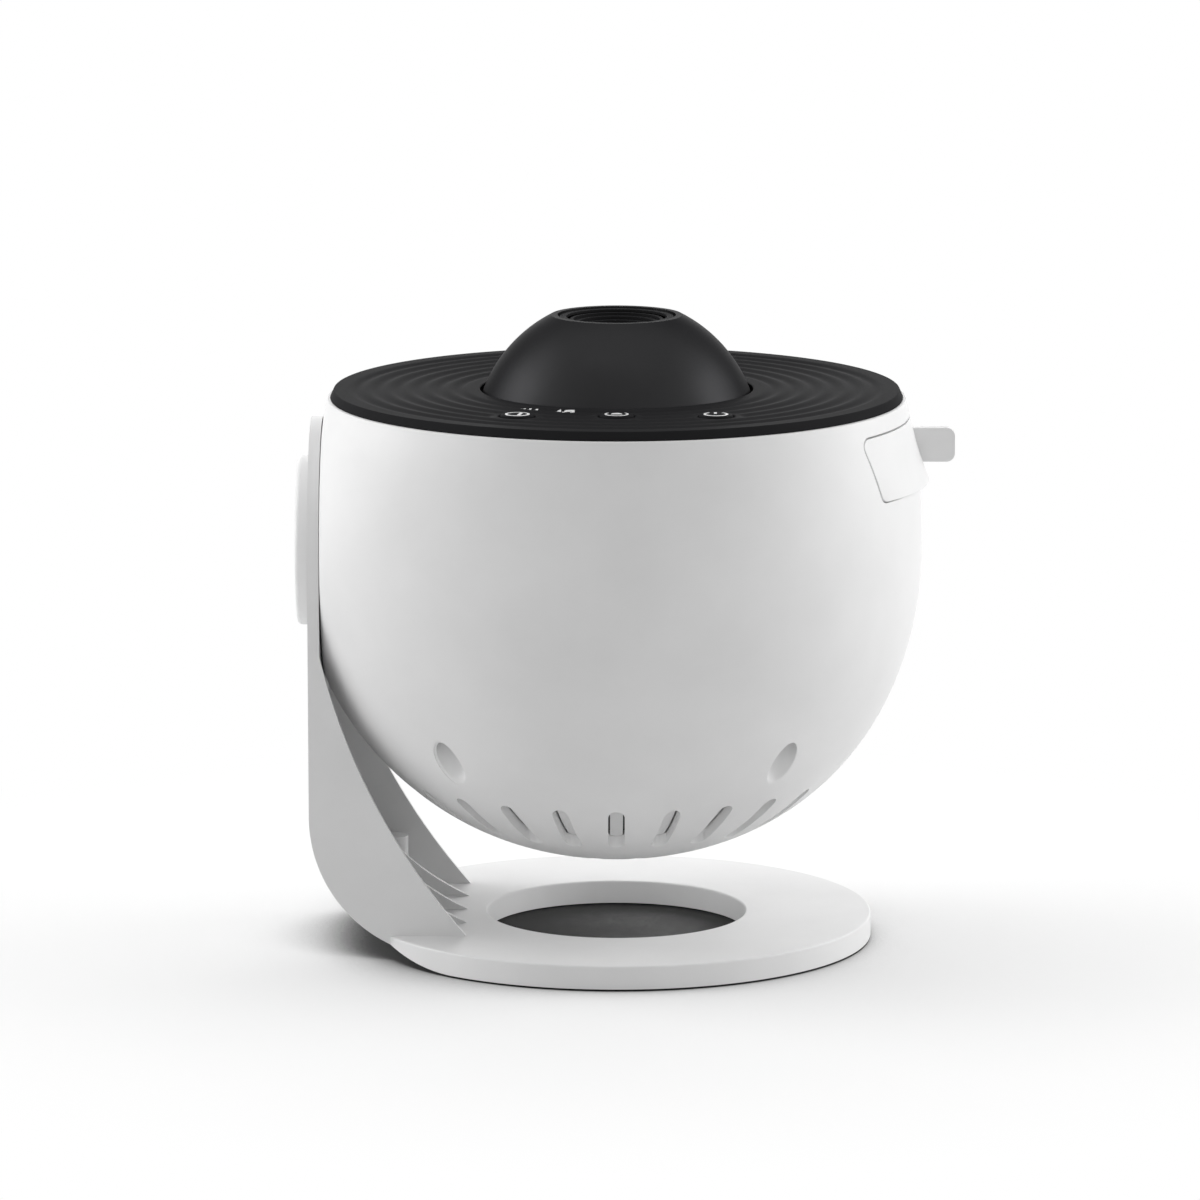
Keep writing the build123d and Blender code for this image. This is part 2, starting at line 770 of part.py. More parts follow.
def drive_pinion():
    turn = 180.0 / pinion_teeth
    gear = Rot(0, 0, turn) * extrude(gear_outline(pinion_teeth), gear_thick)
    hub = extrude(Circle(3.2), tray_bottom - gear_bottom + 0.3)
    bore = extrude(Circle(shaft_radius), 30, both=True)
    return Pos(pinion_x, 0, gear_bottom) * (gear + hub - bore)


def door_section(z, inset):
    """The door's face at a height: how far its circle's centre is from the Z axis, and its radius.
    It meets the shell at the door's two ends and stands proud of it in the middle."""
    share = (rim - door_top - z) / (door_bottom - door_top)
    half = door_half_top + (door_half_bottom - door_half_top) * share
    shell_radius = wall_radius(z)
    proud = door_flare * share * abs(share)
    depth = shell_radius + proud - sqrt(shell_radius ** 2 - half ** 2)
    radius = (depth ** 2 + half ** 2) / (2 * depth)
    return shell_radius + proud - radius, radius - inset


def door_skin(inset):
    """A solid whose wall is the door's face, drawn in by inset."""
    top = rim - door_top + 1
    low = rim - door_bottom - 1
    sections = []
    for i in range(door_sections):
        z = low + (top - low) * i / (door_sections - 1)
        centre, radius = door_section(z, inset)
        sections.append(Pos(centre, 0, z) * Circle(radius))
    return loft(sections)


def door_screw_places():
    z = (tray_top + rim - door_top) / 2 + 0.5
    return [(-door_screw_y, z), (door_screw_y, z)]


def tray_wall_face():
    """The back of the tray's front wall, where the door's screw heads rest."""
    return door_skin_x(door_screw_y, tray_top) - tray_wall_thick


def tray_door():
    door = (door_skin(0) - door_skin(door_wall)) & door_prism(0)
    for y, z in door_screw_places():
        inner_face = door_skin_x(y, z)
        pilot = Plane.YZ * extrude(Circle(screw_radius + thread_gap), 2 + door_screw_bite + 0.3)
        door -= Pos(inner_face - 2, y, z) * pilot
    tab_top = rim - tab_drop
    middle = tab_top - tab_high / 2
    start = wall_radius(middle) - door_wall / 2
    tab = block(start, body_radius + tab_proud, -tab_wide / 2, tab_wide / 2, tab_top - tab_high, tab_top)
    corners = tab.edges().filter_by(Axis.Y).group_by(Axis.X)[-1]
    tab = fillet(corners, tab_corner)
    return door + (tab - door_skin(door_wall))


def door_skin_x(y, z):
    """About where the door's inner face is at a place across it."""
    centre, radius = door_section(z, door_wall)
    return centre + sqrt(radius ** 2 - y ** 2)


def disc_tray():
    """A sliding plate with the disc's hole, side rails and a front wall that the door screws to."""
    plate = block(-tray_rear, body_radius, -tray_half, tray_half, tray_bottom, tray_top)
    for s in (1, -1):
        y = sorted((s * (tray_half - tray_arm_wide), s * tray_half))
        plate += block(-tray_arm, -tray_rear + 1, y[0], y[1], tray_bottom, tray_top)
    wall = block(
        tray_wall_face(), body_radius, -tray_wall_half, tray_wall_half,
        tray_bottom, rim - door_top - 3.0,
    )
    tray = (plate + wall) & door_skin(door_wall)
    tray -= tube(carrier_boss + running, 0, tray_bottom - 1, tray_top + 1)
    notch = Pos(pinion_x, 0, 0) * tube(pinion_tip + 1.0, 0, tray_bottom - 1, tray_top + 1)
    tray -= notch
    for y, z in door_screw_places():
        tray -= Pos(0, y, z) * (Plane.YZ * extrude(Circle(screw_radius), body_radius))
    return tray


def door_screws():
    head = tray_wall_face()
    screws = []
    for y, z in door_screw_places():
        length = door_skin_x(y, z) + door_screw_bite - head
        screws.append(screw_x(head, length, (y, z), False))
    return Compound(screws)


def tray_housing():
    """A flat case round the tray, with a groove down each side that the tray slides in."""
    side_in = tray_half + clear
    low = housing_bottom
    top = housing_top
    housing = block(-housing_rear, housing_front, -housing_half, housing_half, low, low + housing_wall)
    housing += block(-housing_rear, housing_front, -housing_half, housing_half, top - housing_wall, top)
    for s in (1, -1):
        y = sorted((s * side_in, s * housing_half))
        housing += block(-housing_rear, housing_front, y[0], y[1], low, top)
        y = sorted((s * (side_in - rail_reach), s * (side_in + 0.5)))
        rail_low = tray_bottom - clear
        housing += block(-housing_rear, housing_front, y[0], y[1], rail_low - 1.6, rail_low)
        housing += block(
            -housing_rear, housing_front, y[0], y[1], tray_top + clear, tray_top + clear + 1.6
        )
    housing += block(
        -housing_rear, -housing_rear + housing_wall, -housing_half, housing_half, low, top
    )
    housing -= tube(condenser_radius, 0, low - 1, low + housing_wall + 1)
    housing -= tube(barrel_radius - 1, 0, top - housing_wall - 1, top + 1)
    housing -= Pos(pinion_x, 0, 0) * tube(3.6, 0, low - 1, low + housing_wall + 1)
    for x in housing_post_x:
        for y in (-housing_post_y, housing_post_y):
            housing -= Pos(x, y, 0) * tube(screw_radius, 0, top - housing_wall - 1, top + 1)
    for angle in lamp_screw_angles:
        x, y = polar(lamp_screw_circle, angle)
        housing -= Pos(x, y, 0) * tube(screw_radius, 0, low - 1, low + housing_wall + 1)
    return housing


def housing_screws():
    one = screw(housing_top - housing_wall, 4.8, True)
    places = [(x, y) for x in housing_post_x for y in (-housing_post_y, housing_post_y)]
    return Compound([Pos(x, y, 0) * one for x, y in places])


# ---------------- lamp engine ----------------
def condenser_holder():
    """A tube between the lamp and the film, with a flange at each end and a seat for the lens."""
    outer = condenser_radius + holder_wall
    low = sink_top
    top = housing_bottom
    holder = tube(outer, condenser_radius, low, top)
    holder += tube(holder_flange_radius, condenser_radius, top - holder_flange, top)
    holder += tube(holder_flange_radius, condenser_radius, low, low + holder_flange * 0.6)
    seat = top - condenser_down - condenser_edge
    holder += tube(outer, condenser_radius - condenser_seat, seat - 1.2, seat)
    for angle in lamp_screw_angles:
        x, y = polar(lamp_screw_circle, angle)
        holder -= Pos(x, y, 0) * tube(screw_radius, 0, low - 1, top + 1)
    return holder


def condenser_lens():
    """Plano-convex, with its flat face up towards the film."""
    top = housing_bottom - condenser_down
    edge = top - condenser_edge
    low = top - condenser_thick
    inner = condenser_radius - condenser_seat - 0.1
    lens = tube(inner, 0, low, edge + 0.1) & crown(inner, edge - low, low, False)
    return lens + tube(condenser_radius, 0, edge, top)


def led_board():
    board = tube(led_board_radius, 0, sink_top, sink_top + led_board_thick)
    notch = Pos(led_board_radius, 0, 0) * tube(1.6, 0, sink_top - 1, sink_top + led_board_thick + 1)
    return board - around(notch, 6, 30)


def led_emitter():
    low = sink_top + led_board_thick
    base = block(-3.5, 3.5, -3.5, 3.5, low, low + 0.8)
    lens = Pos(0, 0, low + 0.8) * Sphere(emitter_radius)
    top = tube(emitter_radius + 1, 0, low + 0.8, low + 0.8 + emitter_high)
    return base + (lens & top)


def heat_sink():
    """A round base with a comb of straight fins hanging from it."""
    low = sink_top - sink_base
    sink = tube(holder_flange_radius, 0, low, sink_top)
    pitch = 2 * (holder_flange_radius - 3) / (sink_fin_count - 1)
    fins = []
    for i in range(sink_fin_count):
        x = (i - (sink_fin_count - 1) / 2) * pitch
        half = sqrt(holder_flange_radius ** 2 - x ** 2) - 1.0
        fins.append(
            block(
                x - sink_fin_thick / 2, x + sink_fin_thick / 2, -half, half, low - sink_fin_high, low
            )
        )
    sink += fins
    for angle in lamp_screw_angles:
        x, y = polar(lamp_screw_circle, angle)
        sink -= Pos(x, y, 0) * tube(screw_radius, 0, sink_top - 3.4, sink_top + 1)
    return sink


def lamp_screws():
    lower = screw(sink_top + holder_flange * 0.6, holder_flange * 0.6 + 3.0, False)
    upper = screw(housing_bottom + housing_wall, housing_wall + holder_flange * 0.8, False)
    screws = []
    for angle in lamp_screw_angles:
        x, y = polar(lamp_screw_circle, angle)
        screws.append(Pos(x, y, 0) * lower)
        screws.append(Pos(x, y, 0) * upper)
    return Compound(screws)


def disc_motor():
    """A small motor with its gearbox on top, hung under the tray housing."""
    half_x = motor_wide / 2
    half_y = motor_deep / 2
    top = housing_bottom
    gearbox = block(-half_x, half_x, -half_y, half_y, top - 9.0, top)
    can = tube(half_y, 0, top - motor_long + 1.5, top - 9.0)
    can &= block(-half_x + 0.5, half_x - 0.5, -half_y, half_y, top - motor_long, top)
    tail = tube(2.5, 0, top - motor_long, top - motor_long + 1.5)
    collar = tube(3.4, 0, top, top + housing_wall)
    bore = tube(shaft_radius + running, 0, top - 6.0 - running, top + housing_wall + 1)
    return Pos(pinion_x, 0, 0) * (gearbox + can + tail + collar - bore)


# ---------------- main board and power inlet ----------------
def main_board():
    board = block(
        -main_board_half, main_board_half, main_board_near, main_board_far,
        main_board_height, main_board_height + board_thick,
    )
    board &= shell_solid(shell_wall + 0.8)
    for x, y in board_post_places():
        board -= Pos(x, y, 0) * tube(screw_radius, 0, main_board_height - 1, board_seat + 1)
    chip = block(-14, -4, main_board_near + 4, main_board_near + 12, board_seat, board_seat + 1.6)
    can = Pos(12, main_board_near + 11, 0) * tube(3.2, 0, board_seat, board_seat + 8)
    return board + chip + can


def main_board_screws():
    one = screw(board_seat, board_thick + board_screw_depth - 1.0, False)
    return Compound([Pos(x, y, 0) * one for x, y in board_post_places()])


def power_jack():
    """A barrel socket on the main board whose nose fills a hole in the shell's back."""
    axis = board_seat + jack_axis
    half = jack_wide / 2
    mouth = bowl_radius(axis) - 0.5
    shoulder = sqrt(bowl_radius(board_seat, shell_wall) ** 2 - half ** 2) - clear
    body = block(-half, half, shoulder - jack_long, shoulder, board_seat, axis + half)
    nose = Pos(0, mouth, axis) * extrude(Plane.XZ * Circle(jack_nose), mouth - shoulder)
    bore = Pos(0, mouth + 1, axis) * extrude(Plane.XZ * Circle(jack_bore), jack_depth + 1)
    pin = Pos(0, mouth - 1.0, axis) * extrude(Plane.XZ * Circle(jack_pin), jack_depth)
    return body + nose - bore + pin


# ---------------- tilt hinge ----------------
def hub_plate():
    """A disc inside the flat, with a hollow spigot that passes through the arm."""
    hub = tube_x(hub_radius, 0, flat_inner - hub_thick, flat_inner)
    hub += tube_x(spigot_radius, 0, flat_inner - 0.5, spigot_end)
    hub -= tube_x(3.0, 0, flat_inner - hub_thick - 1, spigot_end + 1)
    for angle in hub_screw_angles:
        y, z = bearing_x(hub_screw_circle, angle)
        hub -= Pos(-flat_inner, y, z) * (Plane.YZ * extrude(Circle(screw_radius), hub_thick + 1))
    for angle in keeper_screw_angles:
        y, z = bearing_x(keeper_screw_circle, angle)
        hub -= Pos(-spigot_end, y, z) * (Plane.YZ * extrude(Circle(screw_radius), 4.0))
    return hub


def hub_screws():
    head = -(flat_inner - hub_thick)
    length = hub_thick + shell_wall * 0.6
    return Compound([
        screw_x(head, length, bearing_x(hub_screw_circle, a), True) for a in hub_screw_angles
    ])


def pivot_bush():
    return tube_x(spigot_radius + running + bush_wall, spigot_radius + running, arm_inner, pocket_floor)


def friction_washer():
    inner = spigot_radius + running + 0.1
    return tube_x(washer_radius, inner, pocket_floor, pocket_floor + washer_thick)


def hinge_keeper():
    """The plate on the spigot's end that keeps the head on the arm."""
    keeper = tube_x(keeper_radius, 3.0, spigot_end, spigot_end + keeper_thick)
    for angle in keeper_screw_angles:
        y, z = bearing_x(keeper_screw_circle, angle)
        hole = Plane.YZ * extrude(Circle(screw_radius), keeper_thick + 2)
        keeper -= Pos(-spigot_end - keeper_thick - 1, y, z) * hole
    return keeper


def keeper_screws():
    head = -(spigot_end + keeper_thick)
    flat_head = []
    for angle in keeper_screw_angles:
        y, z = bearing_x(keeper_screw_circle, angle)
        shank = Plane.YZ * extrude(Circle(screw_radius), 4.5)
        top = Plane.YZ * extrude(Circle(screw_head), -0.8)
        flat_head.append(Pos(head, y, z) * (shank + top))
    return Compound(flat_head)


def hinge_cap():
    """A round cover, slightly crowned, over the hinge on the arm's outer face."""
    outer = arm_outer + hinge_cap_proud
    cap = tube_x(hinge_cap_radius, 0, arm_outer, outer)
    cap = fillet(cap.faces().sort_by(Axis.X)[0].edges(), hinge_cap_round)
    return cap - tube_x(hinge_pocket_radius, 0, arm_outer - 1, outer - hinge_cap_wall)


# ---------------- stand ----------------
def sweep_point(inset, z):
    """A place, at a height, on the straight run that follows the curve under the arm."""
    turn = radians(sweep_turn)
    drop = (z - pad_proud) * tan(turn)
    return (-sweep_foot - drop + inset / cos(turn), z)


def sweep_curve(inset, z):
    """The line that turns the arm under: an arc, then straight down to a height."""
    radius = sweep_radius - inset
    turn = radians(sweep_turn)
    arc = CenterArc((-sweep_x, sweep_z), radius, 180, sweep_turn)
    end = (-sweep_x - radius * cos(turn), sweep_z - radius * sin(turn))
    return [arc, Line(end, sweep_point(inset, z))]


def slab(face, y_low, y_high):
    """A face drawn in X and Z, thickened between two places along Y."""
    return Pos(0, y_high, 0) * extrude(Plane.XZ * face, y_high - y_low)


def under_sweep():
    """The space outside the turned-under arm, for trimming the ring."""
    far = -arm_outer - 5
    face = make_face(sweep_curve(0, 0) + [
        Line(sweep_point(0, 0), (far, 0)),
        Line((far, 0), (far, sweep_z)),
        Line((far, sweep_z), (-arm_outer, sweep_z)),
    ])
    return slab(face, -base_radius, base_radius)


def side_face(top, toe, curve):
    """A web's outline: down the arm's inner side to the ring, and back up a hollow curve."""
    foot = sweep_point(arm_thick, base_top)
    chord = sqrt((arm_inner - toe) ** 2 + (top - base_top) ** 2)
    sagitta = curve - sqrt(curve ** 2 - chord ** 2 / 4)
    return make_face(sweep_curve(arm_thick, base_top) + [
        Line(foot, (-toe, base_top)),
        SagittaArc((-toe, base_top), (-arm_inner, top), sagitta),
        Line((-arm_inner, top), (-arm_inner, sweep_z)),
    ])


def arm_sweep():
    face = make_face(sweep_curve(0, pad_proud) + sweep_curve(arm_thick, pad_proud) + [
        Line(sweep_point(0, pad_proud), sweep_point(arm_thick, pad_proud)),
        Line((-arm_inner, sweep_z), (-arm_outer, sweep_z)),
    ])
    return slab(face, -arm_half, arm_half)


def base_form():
    """The ring's outline, trimmed where the arm turns under."""
    ring = tube(base_radius, base_hole, pad_proud, base_top)
    ring = fillet(ring.edges().group_by(Axis.Z)[-1], 0.5)
    return ring - under_sweep()


def stand_arm():
    """The arm, the web that turns it under and a boss in each corner of it."""
    arm = Plane.YZ * extrude(Pos(0, pivot_height) * Circle(arm_half), arm_thick)
    arm += block(0, arm_thick, -arm_half, arm_half, sweep_z, pivot_height)
    arm = Pos(-arm_outer, 0, 0) * arm + arm_sweep()
    boss = tube(boss_radius, 0, pad_proud, boss_height) - Pos(boss_place[0], 0, 0) * under_sweep()
    for s in (1, -1):
        arm += Pos(-boss_place[0], s * boss_place[1], 0) * boss
    arm -= base_form()
    arm -= tube_x(spigot_radius + running + bush_wall, 0, arm_inner - 1, arm_outer + 1)
    return arm - tube_x(hinge_pocket_radius, 0, pocket_floor, arm_outer + 1)


def arm_webs():
    """Two side gussets and the ribs between them, which tie the arm to the ring."""
    gusset = side_face(gusset_top, gusset_toe, gusset_curve)
    rib = side_face(rib_top, gusset_toe, rib_curve)
    webs = [slab(gusset, -arm_half, gusset_thick - arm_half)]
    webs.append(slab(gusset, arm_half - gusset_thick, arm_half))
    pitch = 2 * arm_half / (rib_count + 1)
    for i in range(rib_count):
        y = -arm_half + (i + 1) * pitch
        webs.append(slab(rib, y - rib_thick / 2, y + rib_thick / 2))
    return Compound(webs)


def base_ring():
    """The ring base, hollow beneath, with a boss inside it for each of its screws."""
    ring = base_form()
    ring -= base_void(pad_proud - 0.1, base_top - base_roof, 0)
    for angle in base_screw_angles():
        x, y = polar(base_screw_circle, angle)
        boss = tube(3.0, 0, pad_proud + base_cover_thick, base_top - base_roof + 0.1)
        ring += Pos(x, y, 0) * boss
        ring -= Pos(x, y, 0) * tube(screw_radius, 0, pad_proud, base_top - 0.8)
    return ring


def base_screw_angles():
    return (-120, -60, 60, 120)


def base_void(low, high, gap):
    """The hollow under the ring, which stops short of the arm."""
    void = tube(base_radius - base_wall - gap, base_hole + base_inner_wall + gap, low, high)
    edge = sweep_foot - void_inset - gap
    reach = arm_half + void_inset + gap
    return void - block(-base_radius, -edge, -reach, reach, low - 1, high + 1)


def base_cover():
    """The ring that closes the underside; a groove in it holds the rubber pad."""
    cover = base_void(pad_proud, pad_proud + base_cover_thick, 0.1)
    cover -= pad_ring()
    for angle in base_screw_angles():
        x, y = polar(base_screw_circle, angle)
        cover -= Pos(x, y, 0) * tube(screw_radius, 0, 0, base_top)
    return cover


def pad_ring():
    return tube(pad_radius, pad_radius - pad_wide, 0, pad_proud + 0.7)


def base_pad():
    ring = pad_ring()
    edge = sweep_foot - void_inset - 0.1
    reach = arm_half + void_inset + 1
    return ring - block(-base_radius, -edge, -reach, reach, -1, base_top)


def base_weight():
    """A steel ring that steadies the stand."""
    low = pad_proud + base_cover_thick
    ring = base_void(low, low + weight_thick, 1.0)
    for angle in base_screw_angles():
        x, y = polar(base_screw_circle, angle)
        ring -= Pos(x, y, 0) * tube(3.4, 0, low - 1, base_top)
    return ring


def base_screws():
    """They are driven from under the pad."""
    low = pad_proud + 0.7
    high = base_top - base_roof
    shank = tube(screw_radius, 0, low, high)
    screws = []
    for angle in base_screw_angles():
        screws.append(Pos(*polar(base_screw_circle, angle), 0) * shank)
    return Compound(screws)


# ---------------- write every piece ----------------
def pieces():
    left, middle, right = button_places()
    return {
        "stand_arm": stand_arm(),
        "arm_webs": arm_webs(),
        "base_ring": base_ring(),
        "base_cover": base_cover(),
        "base_weight": base_weight(),
        "base_screws": base_screws(),
        "base_pad": base_pad(),
        "pivot_bush": pivot_bush(),
        "friction_washer": friction_washer(),
        "hinge_cap": hinge_cap(),
        "bowl_shell": bowl_shell(),
        "screw_wells": screw_wells(),
        "board_posts": board_posts(),
        "vent_baffle": vent_baffle(),
        "case_screws": case_screws(),
        "top_cap": top_cap(),
        "hub_plate": hub_plate(),
        "hub_screws": hub_screws(),
        "hinge_keeper": hinge_keeper(),
        "keeper_screws": keeper_screws(),
        "tray_housing": tray_housing(),
        "housing_screws": housing_screws(),
        "lens_guide": lens_guide(),
        "condenser_holder": condenser_holder(),
        "condenser_lens": condenser_lens(),
        "led_board": led_board(),
        "led_emitter": led_emitter(),
        "heat_sink": heat_sink(),
        "lamp_screws": lamp_screws(),
        "disc_motor": disc_motor(),
        "control_board": control_board(),
        "control_board_screws": control_board_screws(),
        "tact_switches": tact_switches(),
        "main_board": main_board(),
        "main_board_screws": main_board_screws(),
        "power_jack": power_jack(),
        "left_button": button(left),
        "middle_button": button(middle),
        "power_button": button(right),
        "focus_dome": focus_dome(),
        "lens_barrel": lens_barrel(),
        "cam_pins": cam_pins(),
        "front_lens": front_lens(),
        "rear_lens": rear_lens(),
        "lens_stop": lens_stop(),
        "disc_tray": disc_tray(),
        "tray_door": tray_door(),
        "door_screws": door_screws(),
        "disc_carrier": disc_carrier(),
        "film_disc": film_disc(),
        "disc_clip": disc_clip(),
        "motor_shaft": motor_shaft(),
        "drive_pinion": drive_pinion(),
    }


os.makedirs("parts", exist_ok=True)
for name, shape in pieces().items():
    export_step(shape, "parts/" + name + ".step")
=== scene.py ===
import json
import math

import bmesh
import bpy
import numpy as np
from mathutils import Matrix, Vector


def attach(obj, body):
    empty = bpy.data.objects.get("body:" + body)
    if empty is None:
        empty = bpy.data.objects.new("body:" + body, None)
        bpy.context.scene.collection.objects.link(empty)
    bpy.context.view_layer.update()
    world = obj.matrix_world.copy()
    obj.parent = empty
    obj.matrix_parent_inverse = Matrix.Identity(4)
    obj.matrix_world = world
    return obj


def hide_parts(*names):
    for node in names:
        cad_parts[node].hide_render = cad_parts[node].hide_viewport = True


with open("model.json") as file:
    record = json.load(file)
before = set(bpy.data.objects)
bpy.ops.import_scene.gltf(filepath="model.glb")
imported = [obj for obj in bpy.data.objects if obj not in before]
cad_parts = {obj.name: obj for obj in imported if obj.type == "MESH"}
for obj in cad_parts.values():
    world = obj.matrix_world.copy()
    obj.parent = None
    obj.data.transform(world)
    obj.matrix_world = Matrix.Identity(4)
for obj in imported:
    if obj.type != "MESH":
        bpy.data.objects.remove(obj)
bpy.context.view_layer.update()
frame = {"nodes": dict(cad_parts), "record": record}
MM = 0.001
NODES = frame["nodes"]


# ---------------- materials ----------------
def material(name, colour, rough, grain=2200.0, bump=0.05, tint=0.03, rough_play=0.06, metallic=0.0,
             specular=0.5, coat=0.0, coat_rough=0.3, stretch=(1, 1, 1), depth=0.00005, edge=1.0):
    """A moulded or metal finish: fine grain as bump, slow drift of colour and roughness."""
    mat = bpy.data.materials.new(name)
    mat.use_nodes = True
    nodes, links = mat.node_tree.nodes, mat.node_tree.links
    bsdf = nodes["Principled BSDF"]
    bsdf.inputs["Metallic"].default_value = metallic
    bsdf.inputs["Specular IOR Level"].default_value = specular
    bsdf.inputs["Specular Tint"].default_value = (edge, edge, edge, 1)
    if coat:
        bsdf.inputs["Coat Weight"].default_value = coat
        bsdf.inputs["Coat Roughness"].default_value = coat_rough
    place = nodes.new("ShaderNodeTexCoord")
    turn = nodes.new("ShaderNodeMapping")
    turn.inputs["Scale"].default_value = stretch
    links.new(place.outputs["Object"], turn.inputs["Vector"])

    drift = nodes.new("ShaderNodeTexNoise")
    drift.inputs["Scale"].default_value = 38.0
    drift.inputs["Detail"].default_value = 4.0
    links.new(turn.outputs["Vector"], drift.inputs["Vector"])
    shade = nodes.new("ShaderNodeValToRGB")
    low = [max(c * (1 - tint), 0.0) for c in colour]
    high = [min(c * (1 + tint), 1.0) for c in colour]
    shade.color_ramp.elements[0].position = 0.3
    shade.color_ramp.elements[1].position = 0.7
    shade.color_ramp.elements[0].color = (*low, 1)
    shade.color_ramp.elements[1].color = (*high, 1)
    links.new(drift.outputs["Fac"], shade.inputs["Fac"])
    links.new(shade.outputs["Color"], bsdf.inputs["Base Color"])

    fine = nodes.new("ShaderNodeTexNoise")
    fine.inputs["Scale"].default_value = grain
    fine.inputs["Detail"].default_value = 3.0
    fine.inputs["Roughness"].default_value = 0.6
    links.new(turn.outputs["Vector"], fine.inputs["Vector"])
    span = nodes.new("ShaderNodeMapRange")
    span.inputs["To Min"].default_value = rough - rough_play
    span.inputs["To Max"].default_value = rough + rough_play
    links.new(fine.outputs["Fac"], span.inputs["Value"])
    links.new(span.outputs["Result"], bsdf.inputs["Roughness"])
    relief = nodes.new("ShaderNodeBump")
    relief.inputs["Strength"].default_value = bump
    relief.inputs["Distance"].default_value = depth
    links.new(fine.outputs["Fac"], relief.inputs["Height"])
    links.new(relief.outputs["Normal"], bsdf.inputs["Normal"])
    return mat


def glass(name, colour, rough):
    mat = material(name, colour, rough, grain=900.0, bump=0.01, tint=0.01, rough_play=0.01)
    bsdf = mat.node_tree.nodes["Principled BSDF"]
    bsdf.inputs["Transmission Weight"].default_value = 0.9
    bsdf.inputs["IOR"].default_value = 1.5
    return mat


MATERIALS = {
    "white_plastic": material("white_plastic", (0.80, 0.80, 0.80), 0.48, bump=0.10),
    "black_plastic": material(
        "black_plastic", (0.020, 0.020, 0.021), 0.5, bump=0.12, tint=0.10, specular=0.004
    ),
    "dome_black": material(
        "dome_black", (0.028, 0.028, 0.029), 0.40, bump=0.08, tint=0.10, specular=0.0, metallic=0.84,
        edge=0.40,
    ),
    "inner_plastic": material("inner_plastic", (0.035, 0.035, 0.037), 0.6, bump=0.2, tint=0.10),
    "grey_plastic": material("grey_plastic", (0.50, 0.51, 0.52), 0.55, bump=0.15),
    "gear_plastic": material("gear_plastic", (0.78, 0.75, 0.68), 0.45, bump=0.10),
    "pad_rubber": material("pad_rubber", (0.04, 0.04, 0.04), 0.85, grain=1500, bump=0.4, tint=0.12),
    "screw_steel": material("screw_steel", (0.58, 0.58, 0.60), 0.32, metallic=1.0, bump=0.1),
    "weight_steel": material("weight_steel", (0.42, 0.43, 0.45), 0.4, metallic=1.0, bump=0.3),
    "motor_steel": material("motor_steel", (0.62, 0.63, 0.65), 0.3, metallic=1.0, bump=0.1),
    "sink_aluminium": material(
        "sink_aluminium", (0.72, 0.73, 0.75), 0.35, metallic=1.0, bump=0.15, stretch=(1, 0.05, 1)
    ),
    "pin_brass": material("pin_brass", (0.78, 0.60, 0.28), 0.28, metallic=1.0, bump=0.1),
    "lens_glass": glass("lens_glass", (0.92, 0.95, 0.98), 0.03),
    "film": material("film", (0.03, 0.03, 0.05), 0.18, bump=0.02, coat=0.6, coat_rough=0.05),
    "board_green": material("board_green", (0.04, 0.22, 0.10), 0.4, bump=0.1, coat=0.3),
    "led_ceramic": material("led_ceramic", (0.86, 0.82, 0.55), 0.4, bump=0.05),
}
for row in frame["record"]["subparts"]:
    node = NODES[row["node"]]
    node.data.materials.clear()
    node.data.materials.append(MATERIALS[row["material_slot"]])


# ---------------- mesh helpers ----------------
def new_object(name, verts, faces, body, slot, nodes=()):
    """A mesh in millimetres becomes a piece that rides on a body."""
    mesh = bpy.data.meshes.new(name)
    mesh.from_pydata([tuple(v) for v in np.asarray(verts, float) * MM], [], [list(f) for f in faces])
    mesh.validate()
    mesh.materials.append(MATERIALS[slot])
    obj = bpy.data.objects.new(name, mesh)
    bpy.context.scene.collection.objects.link(obj)
    if body:
        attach(obj, body)
        if nodes:
            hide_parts(*nodes)
    return obj


def lathe(outline, segments, closed=True):
    """Turns a closed outline of (radius, height) points about Z; points on the axis are shared."""
    outline = np.asarray(outline, float)
    verts, rows = [], []
    turn = np.linspace(0, 2 * math.pi, segments, endpoint=False)
    for r, z in outline:
        start = len(verts)
        if r < 1e-6:
            verts.append((0, 0, z))
            rows.append([start] * segments)
        else:
            verts += [(r * math.cos(a), r * math.sin(a), z) for a in turn]
            rows.append(list(range(start, start + segments)))
    faces = []
    count = len(rows)
    for i in range(count if closed else count - 1):
        a, b = rows[i], rows[(i + 1) % count]
        for k in range(segments):
            m = (k + 1) % segments
            face = [a[k], a[m], b[m], b[k]]
            face = list(dict.fromkeys(face))
            if len(face) > 2:
                faces.append(face)
    return verts, faces


def rounded(points, radii, steps=5):
    """Corners of an open or closed outline turned into arcs; radius 0 keeps the corner."""
    out = []
    count = len(points)
    for i in range(count):
        p = np.asarray(points[i], float)
        if radii[i] <= 0:
            out.append(tuple(p))
            continue
        a, b = np.asarray(points[i - 1], float), np.asarray(points[(i + 1) % count], float)
        u, v = (a - p) / np.linalg.norm(a - p), (b - p) / np.linalg.norm(b - p)
        half = math.acos(max(-1, min(1, float(u @ v)))) / 2
        cut = radii[i] / math.tan(half)
        middle = p + (u + v) / np.linalg.norm(u + v) * radii[i] / math.sin(half)
        s, e = p + u * cut - middle, p + v * cut - middle
        angle = math.atan2(s[0] * e[1] - s[1] * e[0], float(s @ e))
        for k in range(steps + 1):
            t = angle * k / steps
            c, n = math.cos(t), math.sin(t)
            out.append(tuple(middle + (s[0] * c - s[1] * n, s[0] * n + s[1] * c)))
    return out


def shade(obj, split):
    """Smooth shading, split where faces meet at more than an angle in degrees."""
    obj.data.polygons.foreach_set("use_smooth", [True] * len(obj.data.polygons))
    obj.data.set_sharp_from_angle(angle=math.radians(split))


